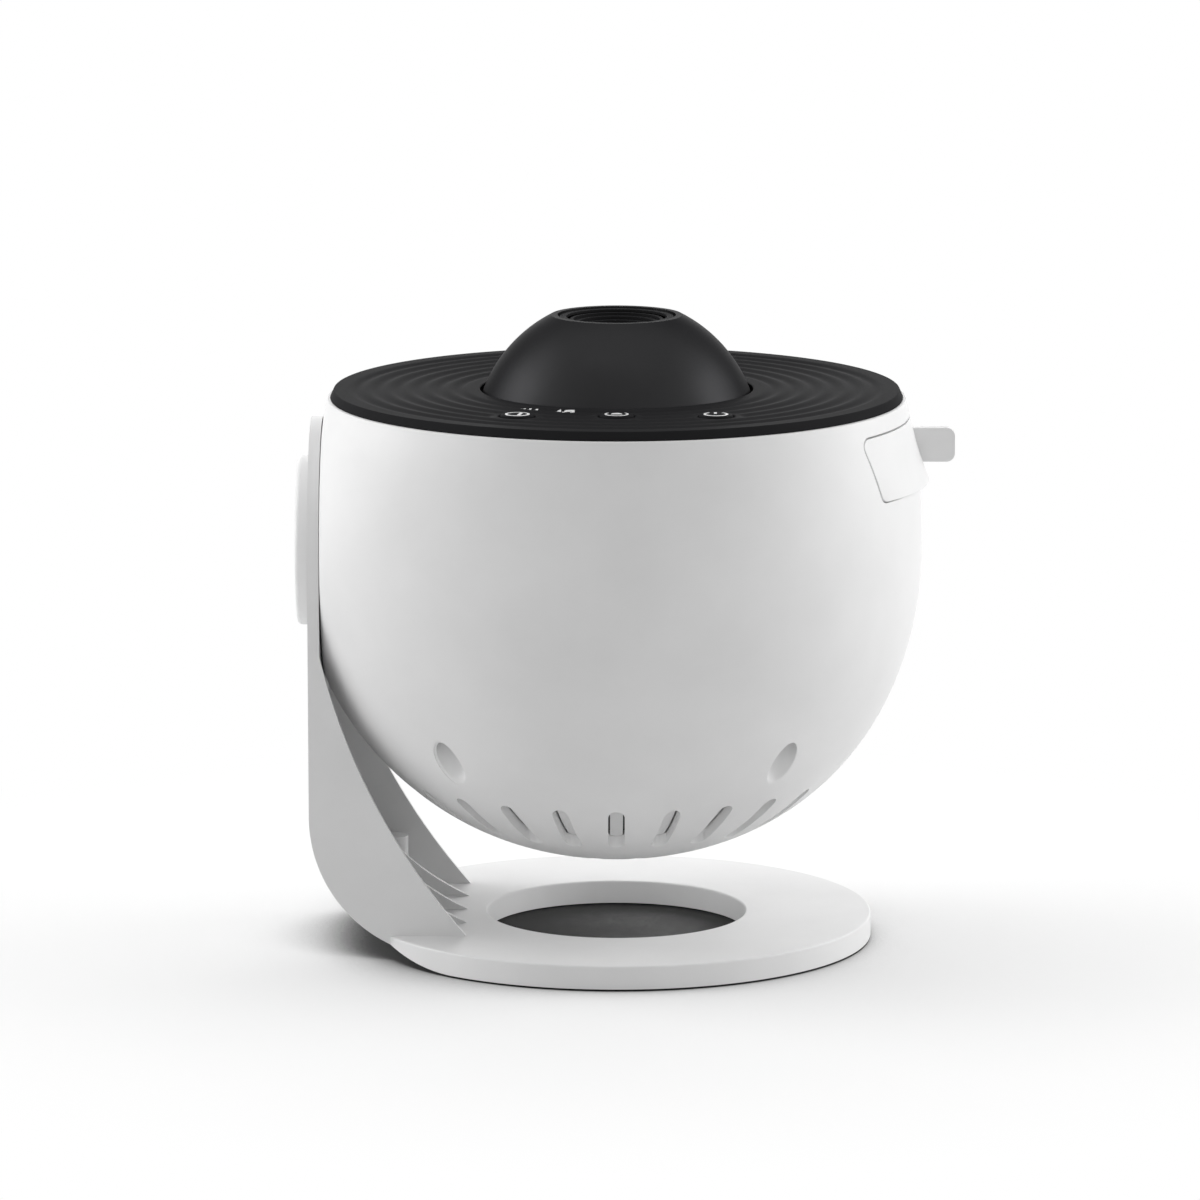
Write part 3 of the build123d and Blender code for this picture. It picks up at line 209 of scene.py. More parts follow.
def boolean(obj, cutter, operation="DIFFERENCE"):
    """Cuts one mesh with another, which is used up."""
    mod = obj.modifiers.new("cut", "BOOLEAN")
    mod.operation = operation
    mod.solver = "EXACT"
    mod.object = cutter
    bpy.context.view_layer.update()
    graph = bpy.context.evaluated_depsgraph_get()
    mesh = bpy.data.meshes.new_from_object(obj.evaluated_get(graph))
    obj.modifiers.remove(mod)
    old = obj.data
    obj.data = mesh
    bpy.data.meshes.remove(old)
    spare = cutter.data
    bpy.data.objects.remove(cutter)
    bpy.data.meshes.remove(spare)


# ---------------- the head's shell, in millimetres ----------------
BODY_R, PIVOT, DEPTH = 75.0, 99.0, 78.2  # greatest radius, its height, and the bowl's depth below it
FULL = 0.5955  # how full the bowl's curve is
UPPER, RIM, WALL = 157.0, 134.6, 2.4  # radius of the upper wall's curve, its top, and its thickness
FLAT_IN = 69.3  # the inner face of the flat that carries the hinge
HUB_FLAT, HUB_R, HUB_FADE = 71.95, 33.0, 35.0  # the disc that meets the arm, and the swelling round it

VENTS, VENT_NEAR, VENT_FAR, VENT_WIDE = 24, 37.9, 53.8, 3.95  # the wide ring of slots below
DRAINS, DRAIN_AT, DRAIN_LONG, DRAIN_WIDE = 12, 19.25, 7.5, 3.0  # the small ring inside it
WELL_AT, WELL_ANGLE, WELL_R = 62.0, 50.0, 3.4  # the case screws' holes
FLANK_SLOTS = ((67.2, 5.0, 26.0), (61.4, 3.8, 25.0), (56.2, 2.2, 22.0))  # height, width, length
INLET_Z, INLET_R = 71.1, 4.05
LINER_NEAR, LINER_FAR = 33.0, 56.2  # the radii that the vents' liner covers
SLIT_NEAR, SLIT_FAR, FIN_HALF, SLIT_EDGE = 36.9, 54.6, 1.57, 2.5  # its slits, beside each fin
POST_AT, POST_HOLE, POST_ANGLES = 41.8, 2.7, (67.5, 112.5)  # where the main board's posts pass
PAD_AT, PAD_R = 52.6, 2.0  # pads between the liner and the dark ring of painted shade
THROUGH = 70.0  # a height above every plate that a cutter goes through


def meridian(inset, bowl_steps, wall_steps, top=RIM):
    """Points down the upper wall and round the bowl to the pole, with outward normals."""
    radius, depth = BODY_R - inset, DEPTH - inset
    low, curve = PIVOT - depth, UPPER - inset
    points, normals = [], []
    for i in range(wall_steps):
        z = top + (PIVOT - top) * i / wall_steps
        height = z - PIVOT
        reach = math.sqrt(curve ** 2 - height ** 2)
        points.append((radius - curve + reach, z))
        normals.append((reach / curve, height / curve))
    p = np.array([(radius, PIVOT), (radius, PIVOT - FULL * depth), (FULL * radius, low), (0, low)])
    for i in range(bowl_steps + 1):
        t = i / bowl_steps
        s = 1 - t
        points.append(tuple(s ** 3 * p[0] + 3 * s * s * t * p[1] + 3 * s * t * t * p[2] + t ** 3 * p[3]))
        d = 3 * s * s * (p[1] - p[0]) + 6 * s * t * (p[2] - p[1]) + 3 * t * t * (p[3] - p[2])
        d /= np.linalg.norm(d)
        normals.append((-d[1], d[0]))
    points[-1] = (0.0, low)
    return np.array(points), np.array(normals)


# the outer surface at many heights, with its normals, and the bowl's part of it
FINE, FINE_N = meridian(0, 600, 200, RIM + 1)
FINE_Z = FINE[::-1, 1]
BOWL_R = FINE[200:][::-1, 0]
BOWL_Z = FINE[200:][::-1, 1]


def skin_radius(z):
    """The outer surface's radius at a height."""
    return float(np.interp(z, FINE_Z, FINE[::-1, 0]))


def skin_height(r):
    """The bowl's outer surface at a radius."""
    return float(np.interp(r, BOWL_R, BOWL_Z))


def slot_outline(length, wide, centre=(0, 0), angle=0.0, spacing=1.0):
    """An outline that grows: gives the points of a round-ended slot for any offset."""
    def grown(o):
        half, run = wide / 2, (length - wide) / 2
        points = []
        steps = 14
        count = max(1, int(round(2 * run / spacing)))
        for k in range(steps + 1):
            a = -math.pi / 2 + math.pi * k / steps
            points.append((run + (half + o) * math.cos(a), (half + o) * math.sin(a)))
        points += [(run - 2 * run * k / count, half + o) for k in range(1, count)]
        for k in range(steps + 1):
            a = math.pi / 2 + math.pi * k / steps
            points.append((-run + (half + o) * math.cos(a), (half + o) * math.sin(a)))
        points += [(-run + 2 * run * k / count, -half - o) for k in range(1, count)]
        c, s = math.cos(angle), math.sin(angle)
        return [(centre[0] + x * c - y * s, centre[1] + x * s + y * c) for x, y in points]
    return grown


def circle_outline(radius, centre, steps=48):
    """As slot_outline, for a round hole."""
    def grown(o):
        turn = [2 * math.pi * k / steps for k in range(steps)]
        reach = radius + o
        return [(centre[0] + reach * math.cos(a), centre[1] + reach * math.sin(a)) for a in turn]
    return grown


DOOR_TOP, DOOR_LOW = RIM - 4.4, RIM - 20.1
DOOR_HALF_TOP, DOOR_HALF_LOW, DOOR_CORNER, DOOR_GAP = 41.8, 37.0, 2.2, 0.35
DOOR_RUNS = (50, 10, 54, 10)  # points along its low edge, right end, top edge and left end


def door_outline(gap):
    """As slot_outline, for the tapered door opening."""
    def grown(o):
        g = gap + o
        corners = [
            (-DOOR_HALF_LOW - g, DOOR_LOW - g), (DOOR_HALF_LOW + g, DOOR_LOW - g),
            (DOOR_HALF_TOP + g, DOOR_TOP + g), (-DOOR_HALF_TOP - g, DOOR_TOP + g),
        ]
        arcs = rounded(corners, [DOOR_CORNER + g] * 4, 6)
        out = []
        for i, count in enumerate(DOOR_RUNS):
            out += arcs[i * 7:(i + 1) * 7]
            p, q = np.array(arcs[i * 7 + 6]), np.array(arcs[((i + 1) % 4) * 7])
            out += [tuple(p + (q - p) * k / count) for k in range(1, count)]
        return out
    return grown


def funnel(outline, surface, place, inward, fillet, outside, inside, steps=5):
    """A cutter whose mouth flares into the surface it meets, so the hole has a rounded lip."""
    rings = []
    mouth = outline(fillet + 0.2)
    rings.append([place(u, v, outside) for u, v in mouth])
    rings.append([place(u, v, surface(u, v) - inward * 0.12) for u, v in mouth])
    for k in range(steps + 1):
        a = math.pi / 2 * k / steps
        points = outline(fillet * (1 - math.sin(a)))
        drop = fillet * (1 - math.cos(a))
        rings.append([place(u, v, surface(u, v) + inward * drop) for u, v in points])
    rings.append([place(u, v, inside) for u, v in outline(0.0)])
    verts = [p for ring in rings for p in ring]
    count = len(rings[0])
    faces = [list(range(count))[::-1], list(range((len(rings) - 1) * count, len(rings) * count))]
    for i in range(len(rings) - 1):
        for k in range(count):
            m = (k + 1) % count
            faces.append([i * count + k, i * count + m, (i + 1) * count + m, (i + 1) * count + k])
    return verts, faces


def joined(parts):
    """Several meshes as one."""
    verts, faces = [], []
    for v, f in parts:
        base = len(verts)
        verts += list(v)
        faces += [[i + base for i in face] for face in f]
    return verts, faces


def prism(centre, radius, low, high, steps=32, inner=0.0):
    """An upright cylinder or tube as a closed mesh."""
    outline = [(inner, low), (radius, low), (radius, high), (inner, high)]
    verts, faces = lathe(outline, steps, closed=inner > 0)
    return [(x + centre[0], y + centre[1], z) for x, y, z in verts], faces


def outward(obj):
    """Makes the faces of every closed part point out."""
    bm = bmesh.new()
    bm.from_mesh(obj.data)
    bmesh.ops.recalc_face_normals(bm, faces=bm.faces)
    bm.to_mesh(obj.data)
    bm.free()


def closed_mesh(name, parts, slot="white_plastic"):
    """A mesh made of closed parts, to be cut or to cut with."""
    solid = new_object(name, *joined(parts), None, slot)
    outward(solid)
    return solid


def blended(a, b, width):
    """The smaller of two numbers, with the change from one to the other rounded off."""
    share = min(max(0.5 + 0.5 * (b - a) / width, 0.0), 1.0)
    return b * (1 - share) + a * share - width * share * (1 - share)


def turned_x(y, z):
    """How far out the turned form reaches along X."""
    return math.sqrt(max(skin_radius(z) ** 2 - y * y, 0.0))


def hub_bulge(y, z):
    """How far the shell swells towards the arm, round the flat disc that meets it."""
    ring = math.hypot(y, z - PIVOT)
    if ring < 1e-6 or z > RIM:
        return 0.0
    y_edge, z_edge = y / ring * HUB_R, PIVOT + (z - PIVOT) / ring * HUB_R
    most = HUB_FLAT - turned_x(y_edge, min(z_edge, RIM))
    t = max(ring - HUB_R, 0.0) / HUB_FADE
    if t < 0.75:
        fade = 1 - t
    else:
        fade = max(1.25 - t, 0.0) ** 2
    near_rim = min((RIM - z) / 8.0, 1.0)
    return max(most, 0.0) * fade * near_rim * near_rim * (3 - 2 * near_rim)


def flank_x(y, z):
    """The shell's outer surface on the arm's side."""
    return -blended(turned_x(y, z) + hub_bulge(y, z), HUB_FLAT, 1.5)


def swell(verts):
    """Moves the turned form's points out to the swelling on the arm's side."""
    out = []
    for x, y, z in verts:
        if x < 0 and abs(y) < skin_radius(min(z, RIM)) * 0.999:
            shift = flank_x(y, z) + turned_x(y, z)
            x = x + shift * min(1.0, -x / 20.0)
        out.append((x, y, z))
    return out


def solid_turned(inset, flat, top, bowl_steps, wall_steps, segments, lip=0.0):
    """The head's turned form as a closed solid, swollen or sliced where it meets the arm."""
    points, _ = meridian(inset, bowl_steps, wall_steps, top)
    points = [(float(r), float(z)) for r, z in points]
    outline = [(0.0, top)] + points
    if lip:
        corner = rounded([(0.0, top), points[0], points[1]], [0, lip, 0], 4)
        outline = [(0.0, top)] + corner[1:-1] + points[1:]
    verts, faces = lathe(outline, segments, closed=False)
    if not flat:
        return swell(verts), faces
    mesh = bpy.data.meshes.new("turned")
    mesh.from_pydata([tuple(v) for v in np.asarray(verts, float)], [], faces)
    bm = bmesh.new()
    bm.from_mesh(mesh)
    cut = bmesh.ops.bisect_plane(
        bm, geom=bm.verts[:] + bm.edges[:] + bm.faces[:], plane_co=(-flat, 0, 0),
        plane_no=(-1, 0, 0), clear_outer=True,
    )
    edges = [e for e in cut["geom_cut"] if isinstance(e, bmesh.types.BMEdge)]
    bmesh.ops.edgenet_fill(bm, edges=edges)
    bmesh.ops.recalc_face_normals(bm, faces=bm.faces)
    bm.to_mesh(mesh)
    bm.free()
    verts = [tuple(v.co) for v in mesh.vertices]
    faces = [list(p.vertices) for p in mesh.polygons]
    bpy.data.meshes.remove(mesh)
    return verts, faces


def shell_cutters():
    """The shell's openings, as cutters from below, from the arm's side, and from the door's side and
    the back."""
    def low_surface(x, y):
        return skin_height(math.hypot(x, y))

    def up(x, y, z):
        return (x, y, z)

    parts, flank, side = [], [], []
    for i in range(VENTS):
        angle = math.radians(360 / VENTS * i - 90)
        middle = (VENT_NEAR + VENT_FAR) / 2
        centre = (middle * math.cos(angle), middle * math.sin(angle))
        line = slot_outline(VENT_FAR - VENT_NEAR, VENT_WIDE, centre, angle)
        parts.append(funnel(line, low_surface, up, 1, 0.1, -5, 60))
    for i in range(DRAINS):
        angle = math.radians(360 / DRAINS * (i + 0.5))
        centre = (DRAIN_AT * math.cos(angle), DRAIN_AT * math.sin(angle))
        line = slot_outline(DRAIN_LONG, DRAIN_WIDE, centre, angle)
        parts.append(funnel(line, low_surface, up, 1, 0.4, -5, 40))
    for sx in (1, -1):
        for sy in (1, -1):
            a = math.radians(WELL_ANGLE)
            centre = (sx * WELL_AT * math.cos(a), sy * WELL_AT * math.sin(a))
            parts.append(funnel(circle_outline(WELL_R, centre), low_surface, up, 1, 0.5, -5, 75))

    def along_x(y, z, x):
        return (x, y, z)

    for height, wide, length in FLANK_SLOTS:
        line = slot_outline(length, wide, (0.0, height))
        flank.append(funnel(line, flank_x, along_x, 1, 0.4, -90, -40))
    side.append(funnel(door_outline(DOOR_GAP), turned_x, along_x, -1, 0.3, 95, 48))

    def back_surface(x, z):
        return math.sqrt(skin_radius(z) ** 2 - x * x)

    def along_y(x, z, y):
        return (x, y, z)

    side.append(funnel(circle_outline(INLET_R, (0, INLET_Z)), back_surface, along_y, -1, 0.4, 90, 55))
    return joined(parts), joined(flank), joined(side)


def smooth_shell(obj):
    """Exact normals where a face lies on the turned surface, and angle-split ones elsewhere."""
    shade(obj, 38)
    mesh = obj.data
    co = np.empty(len(mesh.vertices) * 3)
    mesh.vertices.foreach_get("co", co)
    co = co.reshape(-1, 3) / MM
    radius = np.hypot(co[:, 0], co[:, 1])
    skin = np.interp(co[:, 2], FINE_Z, FINE[::-1, 0])
    near_pole = radius < 25
    gap = np.where(near_pole, np.abs(co[:, 2] - np.interp(radius, BOWL_R, BOWL_Z)), np.abs(radius - skin))
    on_skin = (gap < 0.02) & (co[:, 2] < RIM - 0.25)
    nr = np.interp(co[:, 2], FINE_Z, FINE_N[::-1, 0])
    nz = np.interp(co[:, 2], FINE_Z, FINE_N[::-1, 1])
    exact = np.c_[nr * co[:, 0] / np.maximum(radius, 1e-6), nr * co[:, 1] / np.maximum(radius, 1e-6), nz]
    exact /= np.linalg.norm(exact, axis=1)[:, None]
    normals = np.empty(len(mesh.loops) * 3)
    mesh.corner_normals.foreach_get("vector", normals)
    normals = normals.reshape(-1, 3)
    loops = np.empty(len(mesh.loops), int)
    mesh.loops.foreach_get("vertex_index", loops)
    target = exact[loops]
    close = (normals * target).sum(1) > math.cos(math.radians(34))
    use = on_skin[loops] & close
    normals[use] = target[use]
    mesh.normals_split_custom_set([tuple(n) for n in normals])


def head_shell():
    """The white shell: the turned form, hollowed, with its openings cut."""
    verts, faces = solid_turned(0, 0, RIM, 110, 36, 440, lip=0.35)
    shell = new_object("head_shell", verts, faces, None, "white_plastic")
    verts, faces = solid_turned(WALL, FLAT_IN, RIM + 2, 40, 8, 160)
    inner = new_object("shell_inside", verts, faces, None, "white_plastic")
    boolean(shell, inner)
    for verts, faces in shell_cutters():
        boolean(shell, closed_mesh("shell_cutter", [(verts, faces)]))
    smooth_shell(shell)
    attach(shell, "head")
    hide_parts("bowl_shell")


head_shell()


def boxes(places):
    """Upright blocks, each given by its four corners and two heights."""
    verts, faces = [], []
    for corners, low, high in places:
        base = len(verts)
        verts += [(x, y, low) for x, y in corners] + [(x, y, high) for x, y in corners]
        faces += [[base, base + 1, base + 2, base + 3], [base + 7, base + 6, base + 5, base + 4]]
        faces += [[base + k, base + (k + 1) % 4, base + 4 + (k + 1) % 4, base + 4 + k] for k in range(4)]
    return verts, faces


def bowl_ring(name, near, far, slot):
    """A turned plate that follows the bowl between two insets."""
    rings = []
    for inset in (near, far):
        points, _ = meridian(inset, 400, 2)
        points = points[::-1]
        radii = np.linspace(LINER_NEAR, LINER_FAR, 26)
        rings.append([(float(r), float(np.interp(r, points[:, 0], points[:, 1]))) for r in radii])
    return closed_mesh(name, [lathe(rings[0] + rings[1][::-1], 360)], slot)


def post_holes(plate):
    """Holes that two of the main board's posts pass through."""
    holes = []
    for angle in POST_ANGLES:
        place = (POST_AT * math.cos(math.radians(angle)), POST_AT * math.sin(math.radians(angle)))
        holes.append(prism(place, POST_HOLE, 0, THROUGH))
    boolean(plate, closed_mesh("holes", holes))


def vent_liner():
    """A plate close behind the vents, with a fin behind each vent and a gap at either side of it;
    a dark ring further in is painted shade: it darkens the view through the gaps, where the interior is
    only in shade."""
    # painted shade: this dark ring stands where the real interior is only in shade, so the gaps beside the
    # fins look dark
    shade_ring = bowl_ring("vent_painted_shade_ring", WALL + 2.2, WALL + 3.4, "inner_plastic")
    pads = []
    for i in range(4):
        angle = math.radians(22.5 + 90 * i)
        place = (PAD_AT * math.cos(angle), PAD_AT * math.sin(angle))
        low = skin_height(PAD_AT) + 5.5
        pads.append(prism(place, PAD_R, low - 1.6, low + 1.2))
    boolean(shade_ring, closed_mesh("pads", pads, "inner_plastic"), "UNION")
    post_holes(shade_ring)
    liner = bowl_ring("vent_liner", WALL + 0.06, WALL + 1.5, "white_plastic")
    slits = []
    for i in range(VENTS):
        angle = math.radians(360 / VENTS * i - 90)
        c, n = math.cos(angle), math.sin(angle)
        for low, high in ((-SLIT_EDGE, -FIN_HALF), (FIN_HALF, SLIT_EDGE)):
            flat = ((SLIT_NEAR, low), (SLIT_FAR, low), (SLIT_FAR, high), (SLIT_NEAR, high))
            slits.append(([(r * c - t * n, r * n + t * c) for r, t in flat], 0, THROUGH))
    boolean(liner, closed_mesh("liner_slits", [boxes(slits)]))
    post_holes(liner)
    for plate, slot in ((liner, "white_plastic"), (shade_ring, "inner_plastic")):
        shade(plate, 40)
        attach(plate, "head")
    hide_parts("vent_baffle")


vent_liner()


# ---------------- cap, buttons and marks, in millimetres ----------------
CAP_TOP, CAP_UNDER, CAP_R, CAP_SLOPE = 136.8, 134.4, 70.2, 1.0  # heights, radius, edge's slope
CAP_AROUND = 420  # points round each of the cap's rings
DOME_HOLE, DOME_HOLE_LOW = 33.4, 34.26
SKIRT, SKIRT_WALL = 68.35, 1.6
RIPPLE_FIRST, RIPPLE_LAST, RIPPLE_COUNT, RIPPLE_DEEP = 41.0, 61.0, 5, 0.45
CALM_FROM, CALM_OVER = 4.9, 2.6  # the ripples grow over this distance from a button's middle
BUTTON_X, BUTTON_Y, BUTTON_R = 23.7, -45.0, 4.1
BUTTON_TOP, BUTTON_CROWN, BUTTON_FLANGE, BUTTON_STEM = 137.3, 0.12, 5.1, 2.2
# posts under the cap, for the tray's case, the case screws and the control board
HOUSING_POSTS = [(x, y) for x in (-39.0, 44.96) for y in (-29.5, 29.5)]
CASE_POSTS = [(sx * 39.85, sy * 47.49) for sx in (1, -1) for sy in (1, -1)]
BOARD_POSTS = [(sx * BUTTON_X / 2, BUTTON_Y) for sx in (1, -1)]


def smooth(t):
    """A step from 0 to 1 with level ends."""
    t = min(max(t, 0.0), 1.0)
    return t * t * (3 - 2 * t)


def button_distance(x, y):
    """How far the nearest button's middle is."""
    return min(math.hypot(x - i * BUTTON_X, y - BUTTON_Y) for i in (-1, 0, 1))


def cap_height(x, y):
    """The cap's rippled top; the ripples die out round each button."""
    r = math.hypot(x, y)
    pitch = (RIPPLE_LAST - RIPPLE_FIRST) / (RIPPLE_COUNT - 1)
    wave = 0.5 * (1 - math.cos(2 * math.pi * (r - RIPPLE_FIRST) / pitch))
    ends = smooth((r - RIPPLE_FIRST + pitch * 1.1) / (pitch * 0.6))
    ends *= smooth((RIPPLE_LAST + pitch * 1.1 - r) / (pitch * 0.6))
    calm = smooth((button_distance(x, y) - CALM_FROM) / CALM_OVER)
    return CAP_TOP - RIPPLE_DEEP * wave * ends * calm


def top_cap():
    """The black cap: a turned plate with a skirt, rippled, with its posts and button holes."""
    inner_edge = [
        (DOME_HOLE_LOW, CAP_UNDER), (DOME_HOLE, CAP_TOP - 0.25), (DOME_HOLE + 0.08, CAP_TOP - 0.07)
    ]
    radii = np.linspace(DOME_HOLE + 0.25, CAP_R - CAP_SLOPE - 0.35, 96)
    outline = inner_edge + [(float(r), CAP_TOP) for r in radii]
    outline += rounded(
        [
            (CAP_R - CAP_SLOPE - 0.34, CAP_TOP), (CAP_R - CAP_SLOPE, CAP_TOP), (CAP_R, CAP_TOP - 2.2),
            (SKIRT, CAP_TOP - 2.2), (SKIRT, CAP_UNDER - 4), (SKIRT - SKIRT_WALL, CAP_UNDER - 4),
            (SKIRT - SKIRT_WALL, CAP_UNDER),
        ],
        [0, 0.3, 0.2, 0, 0.3, 0.3, 0], 4,
    )[1:]
    verts, faces = lathe(outline, CAP_AROUND)
    first = len(inner_edge) * CAP_AROUND
    last = first + len(radii) * CAP_AROUND
    verts = [
        (x, y, cap_height(x, y)) if first <= i < last else (x, y, z) for i, (x, y, z) in enumerate(verts)
    ]
    cap = closed_mesh("rippled_cap", [(verts, faces)], "black_plastic")
    posts = []
    for places, radius, low in (
        (HOUSING_POSTS, 3.0, 132.2), (CASE_POSTS, 3.8, 108.8), (BOARD_POSTS, 2.5, 127.4)
    ):
        posts += [prism(place, radius, low, CAP_UNDER + 0.2) for place in places]
    boolean(cap, closed_mesh("cap_posts", posts, "black_plastic"), "UNION")
    parts = []
    for i in (-1, 0, 1):
        centre = (i * BUTTON_X, BUTTON_Y)
        hole = circle_outline(BUTTON_R + 0.25, centre, 64)
        parts.append(funnel(hole, cap_height, lambda x, y, z: (x, y, z), -1, 0.55, 140, 133, 7))
    boolean(cap, closed_mesh("cap_holes", parts, "black_plastic"))
    shade(cap, 40)
    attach(cap, "head")
    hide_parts("top_cap")


def button_height(r):
    """A key's crowned top."""
    return BUTTON_TOP - BUTTON_CROWN * (r / BUTTON_R) ** 2


def push_button(name, place, body, node):
    """A crowned key with a rounded edge, a flange under the cap and a stem."""
    top = [(r, button_height(r)) for r in (0.0, 0.8, 1.6, 2.4, 3.0, 3.3)]
    outline = [
        (0.0, 131.45), (BUTTON_STEM, 131.45), (BUTTON_STEM, 133.1), (BUTTON_FLANGE, 133.1),
        (BUTTON_FLANGE, 134.0), (BUTTON_R, 134.0),
    ]
    edge = rounded(
        [(BUTTON_R, 134.0), (BUTTON_R, button_height(BUTTON_R)), (3.3, button_height(3.3))],
        [0, 0.55, 0], 6,
    )
    outline += edge[1:-1] + top[::-1]
    verts, faces = lathe(outline, 72, closed=False)
    verts = [(x + place[0], y + place[1], z) for x, y, z in verts]
    key = new_object(name, verts, faces, body, "black_plastic", [node])
    outward(key)
    shade(key, 50)


def ring_arc(radius, wide, start=0.0, end=360.0, steps=64):
    """A flat ring, or part of one, as an outline of four-sided patches."""
    closed = end - start >= 360
    count = steps if closed else steps + 1
    turn = [math.radians(start + (end - start) * k / steps) for k in range(count)]
    inner = [(math.cos(a) * (radius - wide / 2), math.sin(a) * (radius - wide / 2)) for a in turn]
    outer = [(math.cos(a) * (radius + wide / 2), math.sin(a) * (radius + wide / 2)) for a in turn]
    faces = []
    for k in range(steps):
        m = (k + 1) % count
        faces.append((k, m, count + m, count + k))
    return inner + outer, faces


def flat_bar(a, b, wide):
    """A straight stroke between two points."""
    a, b = np.array(a, float), np.array(b, float)
    along = (b - a) / np.linalg.norm(b - a)
    side = np.array((-along[1], along[0])) * wide / 2
    count = max(4, int(np.linalg.norm(b - a) / 0.3))
    points, faces = [], []
    for k in range(count + 1):
        p = a + (b - a) * k / count
        points += [tuple(p - side), tuple(p + side)]
    for k in range(count):
        faces.append((2 * k, 2 * k + 2, 2 * k + 3, 2 * k + 1))
    return points, faces


def flat_fan(points):
    """A filled outline."""
    middle = tuple(np.mean(np.array(points, float), axis=0))
    count = len(points)
    return list(points) + [middle], [(k, (k + 1) % count, count) for k in range(count)]


PRINT_THICK, PRINT_SUNK = 0.05, 0.01


def printed(name, shapes, place, height, body):
    """Thin raised strokes that follow the surface they are printed on."""
    verts, faces = [], []
    for points, patches in shapes:
        base = len(verts)
        for lift in (-PRINT_SUNK, PRINT_THICK - PRINT_SUNK):
            for x, y in points:
                verts.append((x + place[0], y + place[1], height(x, y) + lift))
        count = len(points)
        edges = {}
        for patch in patches:
            faces.append([base + count + i for i in patch])
            faces.append([base + i for i in reversed(patch)])
            for i in range(len(patch)):
                a, b = patch[i], patch[(i + 1) % len(patch)]
                if (b, a) in edges:
                    del edges[(b, a)]
                else:
                    edges[(a, b)] = True
        for a, b in edges:
            faces.append([base + a, base + b, base + count + b, base + count + a])
    mark = new_object(name, verts, faces, body, "white_plastic")
    outward(mark)


def on_button(x, y):
    """A key's top, by place from its middle."""
    return button_height(math.hypot(x, y))


half_turn = [math.radians(a) for a in range(0, 181, 10)]
half_disc = [(1.35 * math.cos(a), 2.2 * math.sin(a) - 0.7) for a in half_turn]
SIGNS = {
    "left": [ring_arc(2.68, 0.58), flat_bar((0.3, -1.9), (1.0, 1.9), 0.8)],
    "middle": [ring_arc(2.65, 0.5, 140, 400), flat_fan(half_disc)],
    "power": [ring_arc(2.68, 0.58, 125, 415), flat_bar((-0.1, 0.4), (-0.1, 2.9), 0.7)],
}
SPOTS = {"left": (-BUTTON_X, BUTTON_Y), "middle": (0.0, BUTTON_Y), "power": (BUTTON_X, BUTTON_Y)}
for key, spot in SPOTS.items():
    push_button("key_" + key, spot, key + "_key", key + "_button")
for key, spot in SPOTS.items():
    printed("sign_" + key, SIGNS[key], spot, on_button, key + "_key")
ticks = [
    flat_bar((x - 0.28, y - 1.35), (x + 0.28, y + 1.35), 0.6)
    for x, y in ((-22.4, -32.3), (-21.0, -32.9), (-19.4, -33.8))
]
arrow = [
    flat_bar((-15.3 + 0.3 * k, -36.3 - 0.4 * k), (-15.3 + 0.3 * k, -36.3 + 0.3 * k), 0.3)
    for k in range(1, 7)
]
frame_mark = [
    flat_bar((-12.8, -39.4), (-12.2, -35.4), 0.6), flat_bar((-10.9, -39.8), (-10.3, -35.8), 0.6),
    flat_bar((-12.3, -35.6), (-10.2, -35.9), 1.0),
]
printed("cap_marks", ticks + arrow + frame_mark, (0.0, 0.0), cap_height, "head")
top_cap()


def lens_bezel():
    """A stepped ring on the barrel, round the front lens."""
    steps = [
        (14.0, 153.92), (14.0, 154.5), (12.3, 154.5), (12.3, 153.9), (10.6, 153.9), (10.6, 153.2),
        (9.2, 153.2), (9.2, 152.4), (7.9, 152.4), (7.9, 151.2), (12.5, 151.2), (12.5, 153.92),
    ]
    outline = rounded(steps, [0, 0.12, 0.12, 0, 0.12, 0, 0.12, 0, 0.12, 0.1, 0, 0], 3)
    bezel = new_object("lens_bezel", *lathe(outline, 160), "barrel", "black_plastic")
    outward(bezel)
    shade(bezel, 50)


lens_bezel()


# ---------------- softened edges ----------------
def soften_object(node, width, limit=32.0, segments=2):
    """Rounds the edges of a mesh with modifiers, which leave its own points alone."""
    node.data.polygons.foreach_set("use_smooth", [True] * len(node.data.polygons))
    weld = node.modifiers.new("weld", "WELD")
    weld.merge_threshold = 1e-6
    flat = node.modifiers.new("flat", "DECIMATE")
    flat.decimate_type = "DISSOLVE"
    flat.angle_limit = math.radians(0.6)
    bevel = node.modifiers.new("bevel", "BEVEL")
    bevel.width = width * MM
    bevel.segments = segments
    bevel.limit_method = "ANGLE"
    bevel.angle_limit = math.radians(limit)
    bevel.harden_normals = False
    bevel.miter_outer = "MITER_ARC"
    weighted = node.modifiers.new("normals", "WEIGHTED_NORMAL")
    weighted.keep_sharp = True


SOFT_EDGES = {
    "hinge_cap": 0.3, "tray_door": 0.35, "disc_tray": 0.3, "heat_sink": 0.2, "tray_housing": 0.2,
    "lens_guide": 0.2, "main_board": 0.1,
}
for name, width in SOFT_EDGES.items():
    soften_object(NODES[name], width)


# ---------------- stand, in millimetres ----------------
ARM_OUT, ARM_IN, ARM_HALF = 74.85, 72.05, 30.4
PLATE = ARM_OUT - ARM_IN
TURN_R, TURN_X, TURN_Z = 35.15, -39.7, 35.65  # the arm's turn under: outer radius and centre
RING_IN, RING_OUT, RING_TOP, RING_FOOT = 32.0, 63.0, 6.2, 0.5
VOID_IN, VOID_OUT, VOID_TOP, VOID_EDGE = 34.2, 58.8, 4.4, -38.0  # the hollow under the ring
TOE = (-36.7, RING_TOP)  # where the webs run out on the ring
GUSSET_TOP, GUSSET_CURVE, GUSSET_THICK = 75.3, 161.6, 1.6
RIB_TOP, RIB_CURVE, RIB_HALF, RIBS = 52.0, 62.2, 0.7, (-15.2, 0.0, 15.2)
BOSS_X, BOSS_YS, BOSS_R = -55.4, (-22.8, 22.8), 3.2
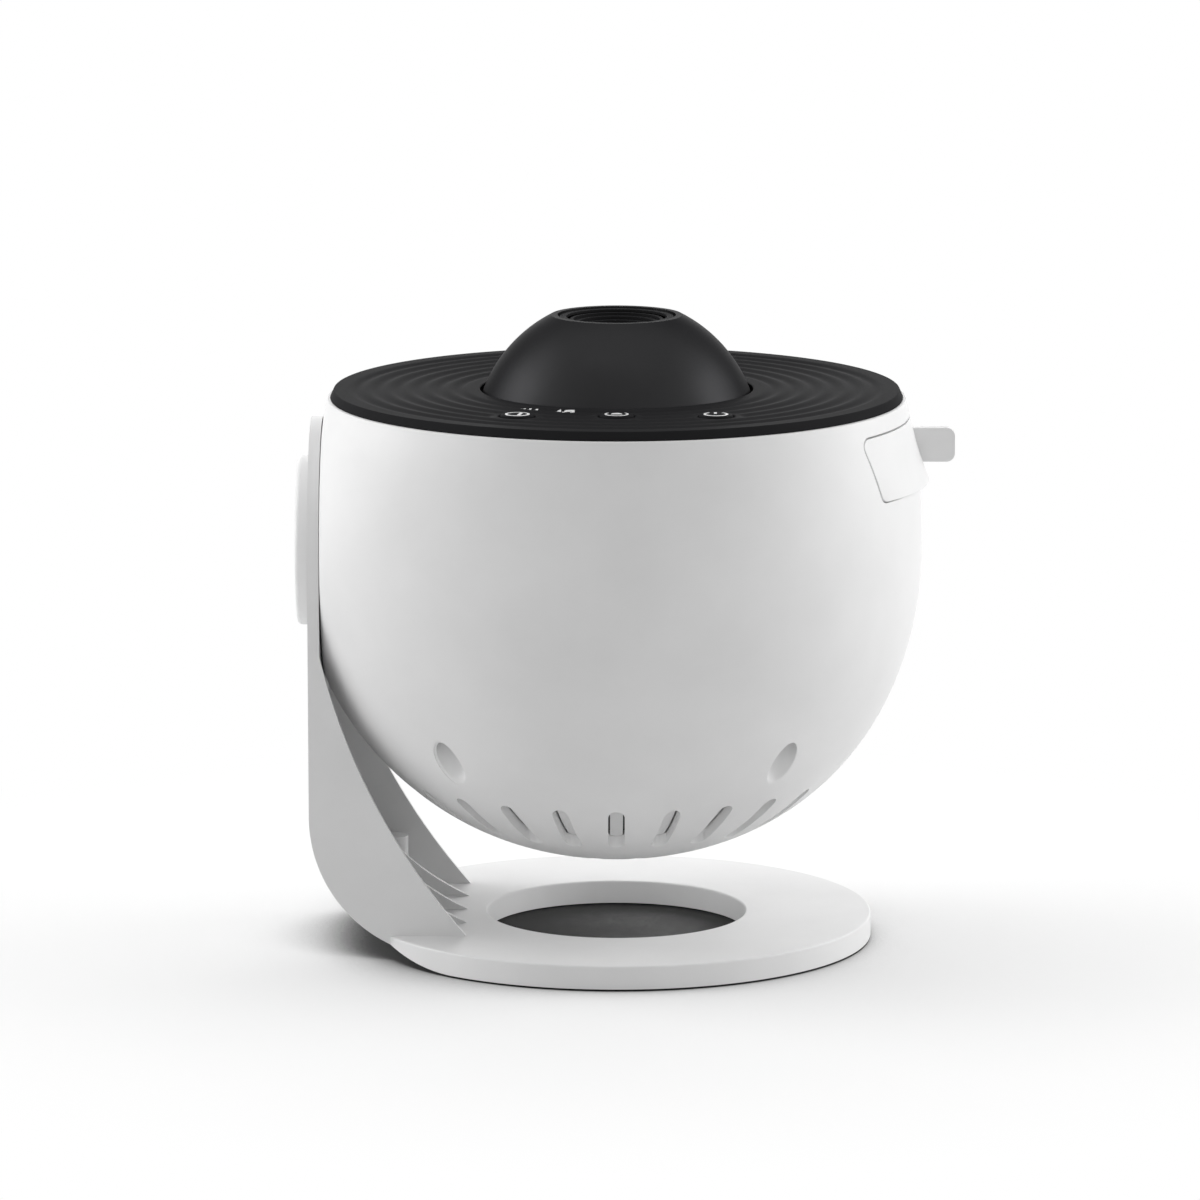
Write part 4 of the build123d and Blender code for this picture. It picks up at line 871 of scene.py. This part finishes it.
SCREW_AT, SCREW_ANGLES = 46.0, (-120, -60, 60, 120)
BORE_R, POCKET_R, POCKET_FLOOR = 12.0, 17.0, 74.05  # the pivot's bore and the hinge cover's pocket


def bent(radius):
    """The quarter turn that takes the arm under, from upright to level."""
    turn = [math.radians(180 + 2.5 * k) for k in range(37)]
    return [(TURN_X + radius * math.cos(a), TURN_Z + radius * math.sin(a)) for a in turn]


def slab(face, low, high):
    """A face drawn in X and Z, thickened along Y."""
    count = len(face)
    verts = [(x, low, z) for x, z in face] + [(x, high, z) for x, z in face]
    faces = [list(range(count)), list(range(count, 2 * count))[::-1]]
    faces += [[k, (k + 1) % count, count + (k + 1) % count, count + k] for k in range(count)]
    return verts, faces


def web_face(top, curve):
    """A web's outline: inside the arm down to the ring, out to the toe, and a hollow edge back up."""
    toe, peak = np.array(TOE), np.array((-ARM_IN, top))
    chord = peak - toe
    length = np.linalg.norm(chord)
    away = np.array((chord[1], -chord[0])) / length
    middle = (toe + peak) / 2 + away * math.sqrt(curve ** 2 - length ** 2 / 4)
    first = math.atan2(toe[1] - middle[1], toe[0] - middle[0])
    last = math.atan2(peak[1] - middle[1], peak[0] - middle[0])
    if last - first > math.pi:
        last -= 2 * math.pi
    if first - last > math.pi:
        last += 2 * math.pi
    edge = []
    for k in range(29):
        a = first + (last - first) * k / 28
        edge.append((middle[0] + curve * math.cos(a), middle[1] + curve * math.sin(a)))
    root = [point for point in bent(TURN_R - PLATE / 2) if point[1] > 5.3]
    return [(PLATE / 2 - ARM_OUT, top)] + root + [(root[-1][0], 5.0), (TOE[0], 5.0)] + edge


def arm_side(edge):
    """A block that holds everything on the arm's side of an upright plane."""
    return boxes([(((-80, -80), (edge, -80), (edge, 80), (-80, 80)), -5, 20)])


def stand_body():
    """Arm, webs and ring in one moulding, made too large and then cut to its outer form."""
    inner = [(-ARM_IN, 131.0)] + bent(TURN_R - PLATE)
    beyond = [(TURN_X, 0.5), (-50.0, -3.0), (-80.0, -3.0), (-80.0, 131.0)]
    arm = closed_mesh("stand_body", [slab(inner + beyond, -35, 35)])
    gusset, rib = web_face(GUSSET_TOP, GUSSET_CURVE), web_face(RIB_TOP, RIB_CURVE)
    webs = [slab(gusset, -35, GUSSET_THICK - ARM_HALF), slab(gusset, ARM_HALF - GUSSET_THICK, 35)]
    webs += [slab(rib, y - RIB_HALF, y + RIB_HALF) for y in RIBS]
    webs += [prism((BOSS_X, y), BOSS_R, 4.0, 20.0) for y in BOSS_YS]
    boolean(arm, closed_mesh("webs", webs), "UNION")
    top = [math.radians(3.0 * k) for k in range(61)]
    plate = [(ARM_HALF * math.cos(a), PIVOT + ARM_HALF * math.sin(a)) for a in top]
    plate += [(-ARM_HALF, -1.0), (ARM_HALF, -1.0)]
    verts, faces = slab(plate, -90, -20)
    boolean(arm, closed_mesh("plate", [([(y, x, z) for x, y, z in verts], faces)]), "INTERSECT")

    outline = [(RING_IN, RING_FOOT), (RING_OUT, RING_FOOT), (RING_OUT, RING_TOP), (RING_IN, RING_TOP)]
    ring = closed_mesh("ring", [lathe(rounded(outline, [0, 0, 0.5, 0.5], 4), 200)])
    hollow = [(VOID_IN, 0.4), (VOID_OUT, 0.4), (VOID_OUT, VOID_TOP), (VOID_IN, VOID_TOP)]
    void = closed_mesh("void", [lathe(hollow, 180)])
    boolean(void, closed_mesh("side", [arm_side(VOID_EDGE)]))
    boolean(ring, void)
    turns = [math.radians(a) for a in SCREW_ANGLES]
    bosses = [
        prism((SCREW_AT * math.cos(a), SCREW_AT * math.sin(a)), 3.0, 2.05, 4.6, 32, 1.3) for a in turns
    ]
    boolean(ring, closed_mesh("bosses", bosses), "UNION")
    boolean(arm, ring, "UNION")

    outer = [(-ARM_OUT, 140.0)] + bent(TURN_R)
    outer += [(TURN_X + 1.5, 0.3), (TURN_X + 1.5, -9.0), (-95.0, -9.0), (-95.0, 140.0)]
    boolean(arm, closed_mesh("outside", [slab(outer, -80, 80)]))
    bore = [
        (0.0, -60.0), (BORE_R, -60.0), (BORE_R, -POCKET_FLOOR), (POCKET_R, -POCKET_FLOOR),
        (POCKET_R, -82.0), (0.0, -82.0),
    ]
    verts, faces = lathe(bore, 96, closed=False)
    boolean(arm, closed_mesh("bore", [([(z, x, PIVOT + y) for x, y, z in verts], faces)]))
    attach(arm, "stand")
    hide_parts("stand_arm", "arm_webs", "base_ring")
    soften_object(arm, 0.35)


def cut_short(node, name, edge):
    """A ring under the stand, cut short of the place where the arm turns under."""
    source = NODES[node]
    mesh = source.data.copy()
    mesh.transform(source.matrix_world)
    slot = {row["node"]: row["material_slot"] for row in frame["record"]["subparts"]}[node]
    obj = bpy.data.objects.new(name, mesh)
    bpy.context.scene.collection.objects.link(obj)
    bm = bmesh.new()
    bm.from_mesh(mesh)
    bmesh.ops.remove_doubles(bm, verts=bm.verts, dist=1e-6)
    bm.to_mesh(mesh)
    bm.free()
    boolean(obj, closed_mesh("short", [arm_side(edge)]))
    obj.data.materials.clear()
    obj.data.materials.append(MATERIALS[slot])
    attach(obj, "stand")
    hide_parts(node)
    soften_object(obj, 0.15)


stand_body()
for node, name, gap in (
    ("base_cover", "cover_ring", 0.1), ("base_pad", "rubber_ring", 0.1), ("base_weight", "steel_ring", 0.6)
):
    cut_short(node, name, VOID_EDGE + gap)


# ---------------- floor, lights and camera, in metres ----------------
FLOOR_COLOUR = 0.75  # what lights the object
FLOOR_SEEN, FLOOR_PAINTED_SHADE = 0.98, 0.08  # open floor near the object, and the painted shade where the object covers it
SHADE_REACH, SHADE_FROM, SHADE_TO = 0.11, 0.27, 0.68  # how far and how strongly covered floor is darkened by painted shade
FLOOR_NEAR, FLOOR_FAR = 0.07, 0.24  # the floor fades to the backdrop's white between these
AMBIENT, SKY_SEEN = 0.52, 1.0
LIGHTS = {  # place, size and watts
    "left": ((-1.1, 0.25, 0.35), (0.8, 1.0), 7.85),
    "right": ((1.1, 0.25, 0.35), (0.8, 1.0), 8.30),
    "top": ((0.0, 0.0, 1.2), (1.0, 1.0), 1.25),
    "right_front": ((1.0, -0.9, 0.35), (0.8, 1.0), 0.36),
    "back": ((0.0, 1.3, 0.6), (1.6, 0.8), 3.7),
    "left_high": ((-0.95, 0.25, 0.95), (0.6, 0.6), 1.5),
    "right_high": ((0.95, 0.25, 0.95), (0.6, 0.6), 0.51),
}
AIMED_AT = Vector((0, 0, 0.08))
CAMERA_AT, CAMERA_DIP, CAMERA_ROLL = (0, -1.77066, 0.40528), 0.1795, 0.0023
LENS, SENSOR = 219.378, 36.0


def math_node(nodes, links, kind, a, b):
    """A math operation on two sockets or numbers, as a new socket."""
    node = nodes.new("ShaderNodeMath")
    node.operation = kind
    for socket, value in zip(node.inputs, (a, b)):
        if isinstance(value, (int, float)):
            socket.default_value = value
        else:
            links.new(value, socket)
    return node.outputs[0]


def looked_at(nodes, links):
    """1 for rays that show the backdrop itself: seen, mirrored or through glass."""
    path = nodes.new("ShaderNodeLightPath")
    seen = math_node(
        nodes, links, "MAXIMUM", path.outputs["Is Camera Ray"], path.outputs["Is Glossy Ray"]
    )
    return math_node(nodes, links, "MAXIMUM", seen, path.outputs["Is Transmission Ray"])


def floor_material():
    """Pale floor that lights the object as a plain surface; where it is looked at it is white away from
    the object, and near it keeps the object's shadow, deepened by painted shade where the object covers
    it."""
    mat = bpy.data.materials.new("studio_floor")
    mat.use_nodes = True
    nodes, links = mat.node_tree.nodes, mat.node_tree.links
    nodes.clear()
    out = nodes.new("ShaderNodeOutputMaterial")
    plain = nodes.new("ShaderNodeBsdfDiffuse")
    plain.inputs["Color"].default_value = (*[FLOOR_COLOUR] * 3, 1)
    # painted shade: near the object the floor's seen colour darkens with ambient occlusion, on top of the
    # real shadow
    near = nodes.new("ShaderNodeBsdfDiffuse")
    close = nodes.new("ShaderNodeAmbientOcclusion")
    close.inputs["Distance"].default_value = SHADE_REACH
    close.samples = 24
    painted_shade = nodes.new("ShaderNodeMapRange")
    painted_shade.interpolation_type = "SMOOTHSTEP"
    painted_shade.inputs["From Min"].default_value = SHADE_FROM
    painted_shade.inputs["From Max"].default_value = SHADE_TO
    painted_shade.inputs["To Min"].default_value = FLOOR_PAINTED_SHADE
    painted_shade.inputs["To Max"].default_value = FLOOR_SEEN
    links.new(close.outputs["AO"], painted_shade.inputs["Value"])
    links.new(painted_shade.outputs["Result"], near.inputs["Color"])
    white = nodes.new("ShaderNodeEmission")
    white.inputs["Strength"].default_value = SKY_SEEN
    place = nodes.new("ShaderNodeTexCoord")
    reach = nodes.new("ShaderNodeVectorMath")
    reach.operation = "LENGTH"
    links.new(place.outputs["Object"], reach.inputs[0])
    far = nodes.new("ShaderNodeMapRange")
    far.interpolation_type = "SMOOTHSTEP"
    far.inputs["From Min"].default_value = FLOOR_NEAR
    far.inputs["From Max"].default_value = FLOOR_FAR
    links.new(reach.outputs["Value"], far.inputs["Value"])
    shown = nodes.new("ShaderNodeMixShader")
    links.new(far.outputs["Result"], shown.inputs[0])
    links.new(near.outputs[0], shown.inputs[1])
    links.new(white.outputs[0], shown.inputs[2])
    mix = nodes.new("ShaderNodeMixShader")
    links.new(looked_at(nodes, links), mix.inputs[0])
    links.new(plain.outputs[0], mix.inputs[1])
    links.new(shown.outputs[0], mix.inputs[2])
    links.new(mix.outputs[0], out.inputs["Surface"])
    return mat


def studio_world():
    """Even light all round, and plain white where it is looked at."""
    world = bpy.data.worlds.new("studio")
    bpy.context.scene.world = world
    world.use_nodes = True
    nodes, links = world.node_tree.nodes, world.node_tree.links
    nodes.clear()
    out = nodes.new("ShaderNodeOutputWorld")
    ambient = nodes.new("ShaderNodeBackground")
    ambient.inputs["Color"].default_value = (1, 1, 1, 1)
    ambient.inputs["Strength"].default_value = AMBIENT
    backdrop = nodes.new("ShaderNodeBackground")
    backdrop.inputs["Color"].default_value = (1, 1, 1, 1)
    backdrop.inputs["Strength"].default_value = SKY_SEEN
    pick = nodes.new("ShaderNodeMixShader")
    links.new(looked_at(nodes, links), pick.inputs[0])
    links.new(ambient.outputs[0], pick.inputs[1])
    links.new(backdrop.outputs[0], pick.inputs[2])
    links.new(pick.outputs[0], out.inputs["Surface"])


def area_light(name, place, size, power):
    """A rectangular lamp that points at the object."""
    data = bpy.data.lights.new("light_" + name, "AREA")
    data.shape = "RECTANGLE"
    data.size, data.size_y = size
    data.energy = power
    lamp = bpy.data.objects.new("light_" + name, data)
    bpy.context.scene.collection.objects.link(lamp)
    lamp.location = place
    aim = AIMED_AT - Vector(place)
    lamp.rotation_euler = aim.to_track_quat("-Z", "Y").to_euler()


bpy.ops.mesh.primitive_circle_add(vertices=96, radius=9.0, fill_type="NGON", location=(0, 0, 0))
floor = bpy.context.object
floor.name = "studio_floor"
floor.data.materials.append(floor_material())
studio_world()
for name, (place, size, power) in LIGHTS.items():
    area_light(name, place, size, power)

camera = bpy.data.cameras.new("camera")
camera.lens = LENS
camera.sensor_width = SENSOR
camera.sensor_height = SENSOR
camera.sensor_fit = "HORIZONTAL"
camera.clip_start = 0.01
camera.clip_end = 30.0
eye = bpy.data.objects.new("camera", camera)
bpy.context.scene.collection.objects.link(eye)
eye.location = CAMERA_AT
eye.rotation_euler = (math.pi / 2 - CAMERA_DIP, 0, CAMERA_ROLL)
bpy.context.scene.camera = eye
bpy.context.scene.view_settings.view_transform = "Standard"
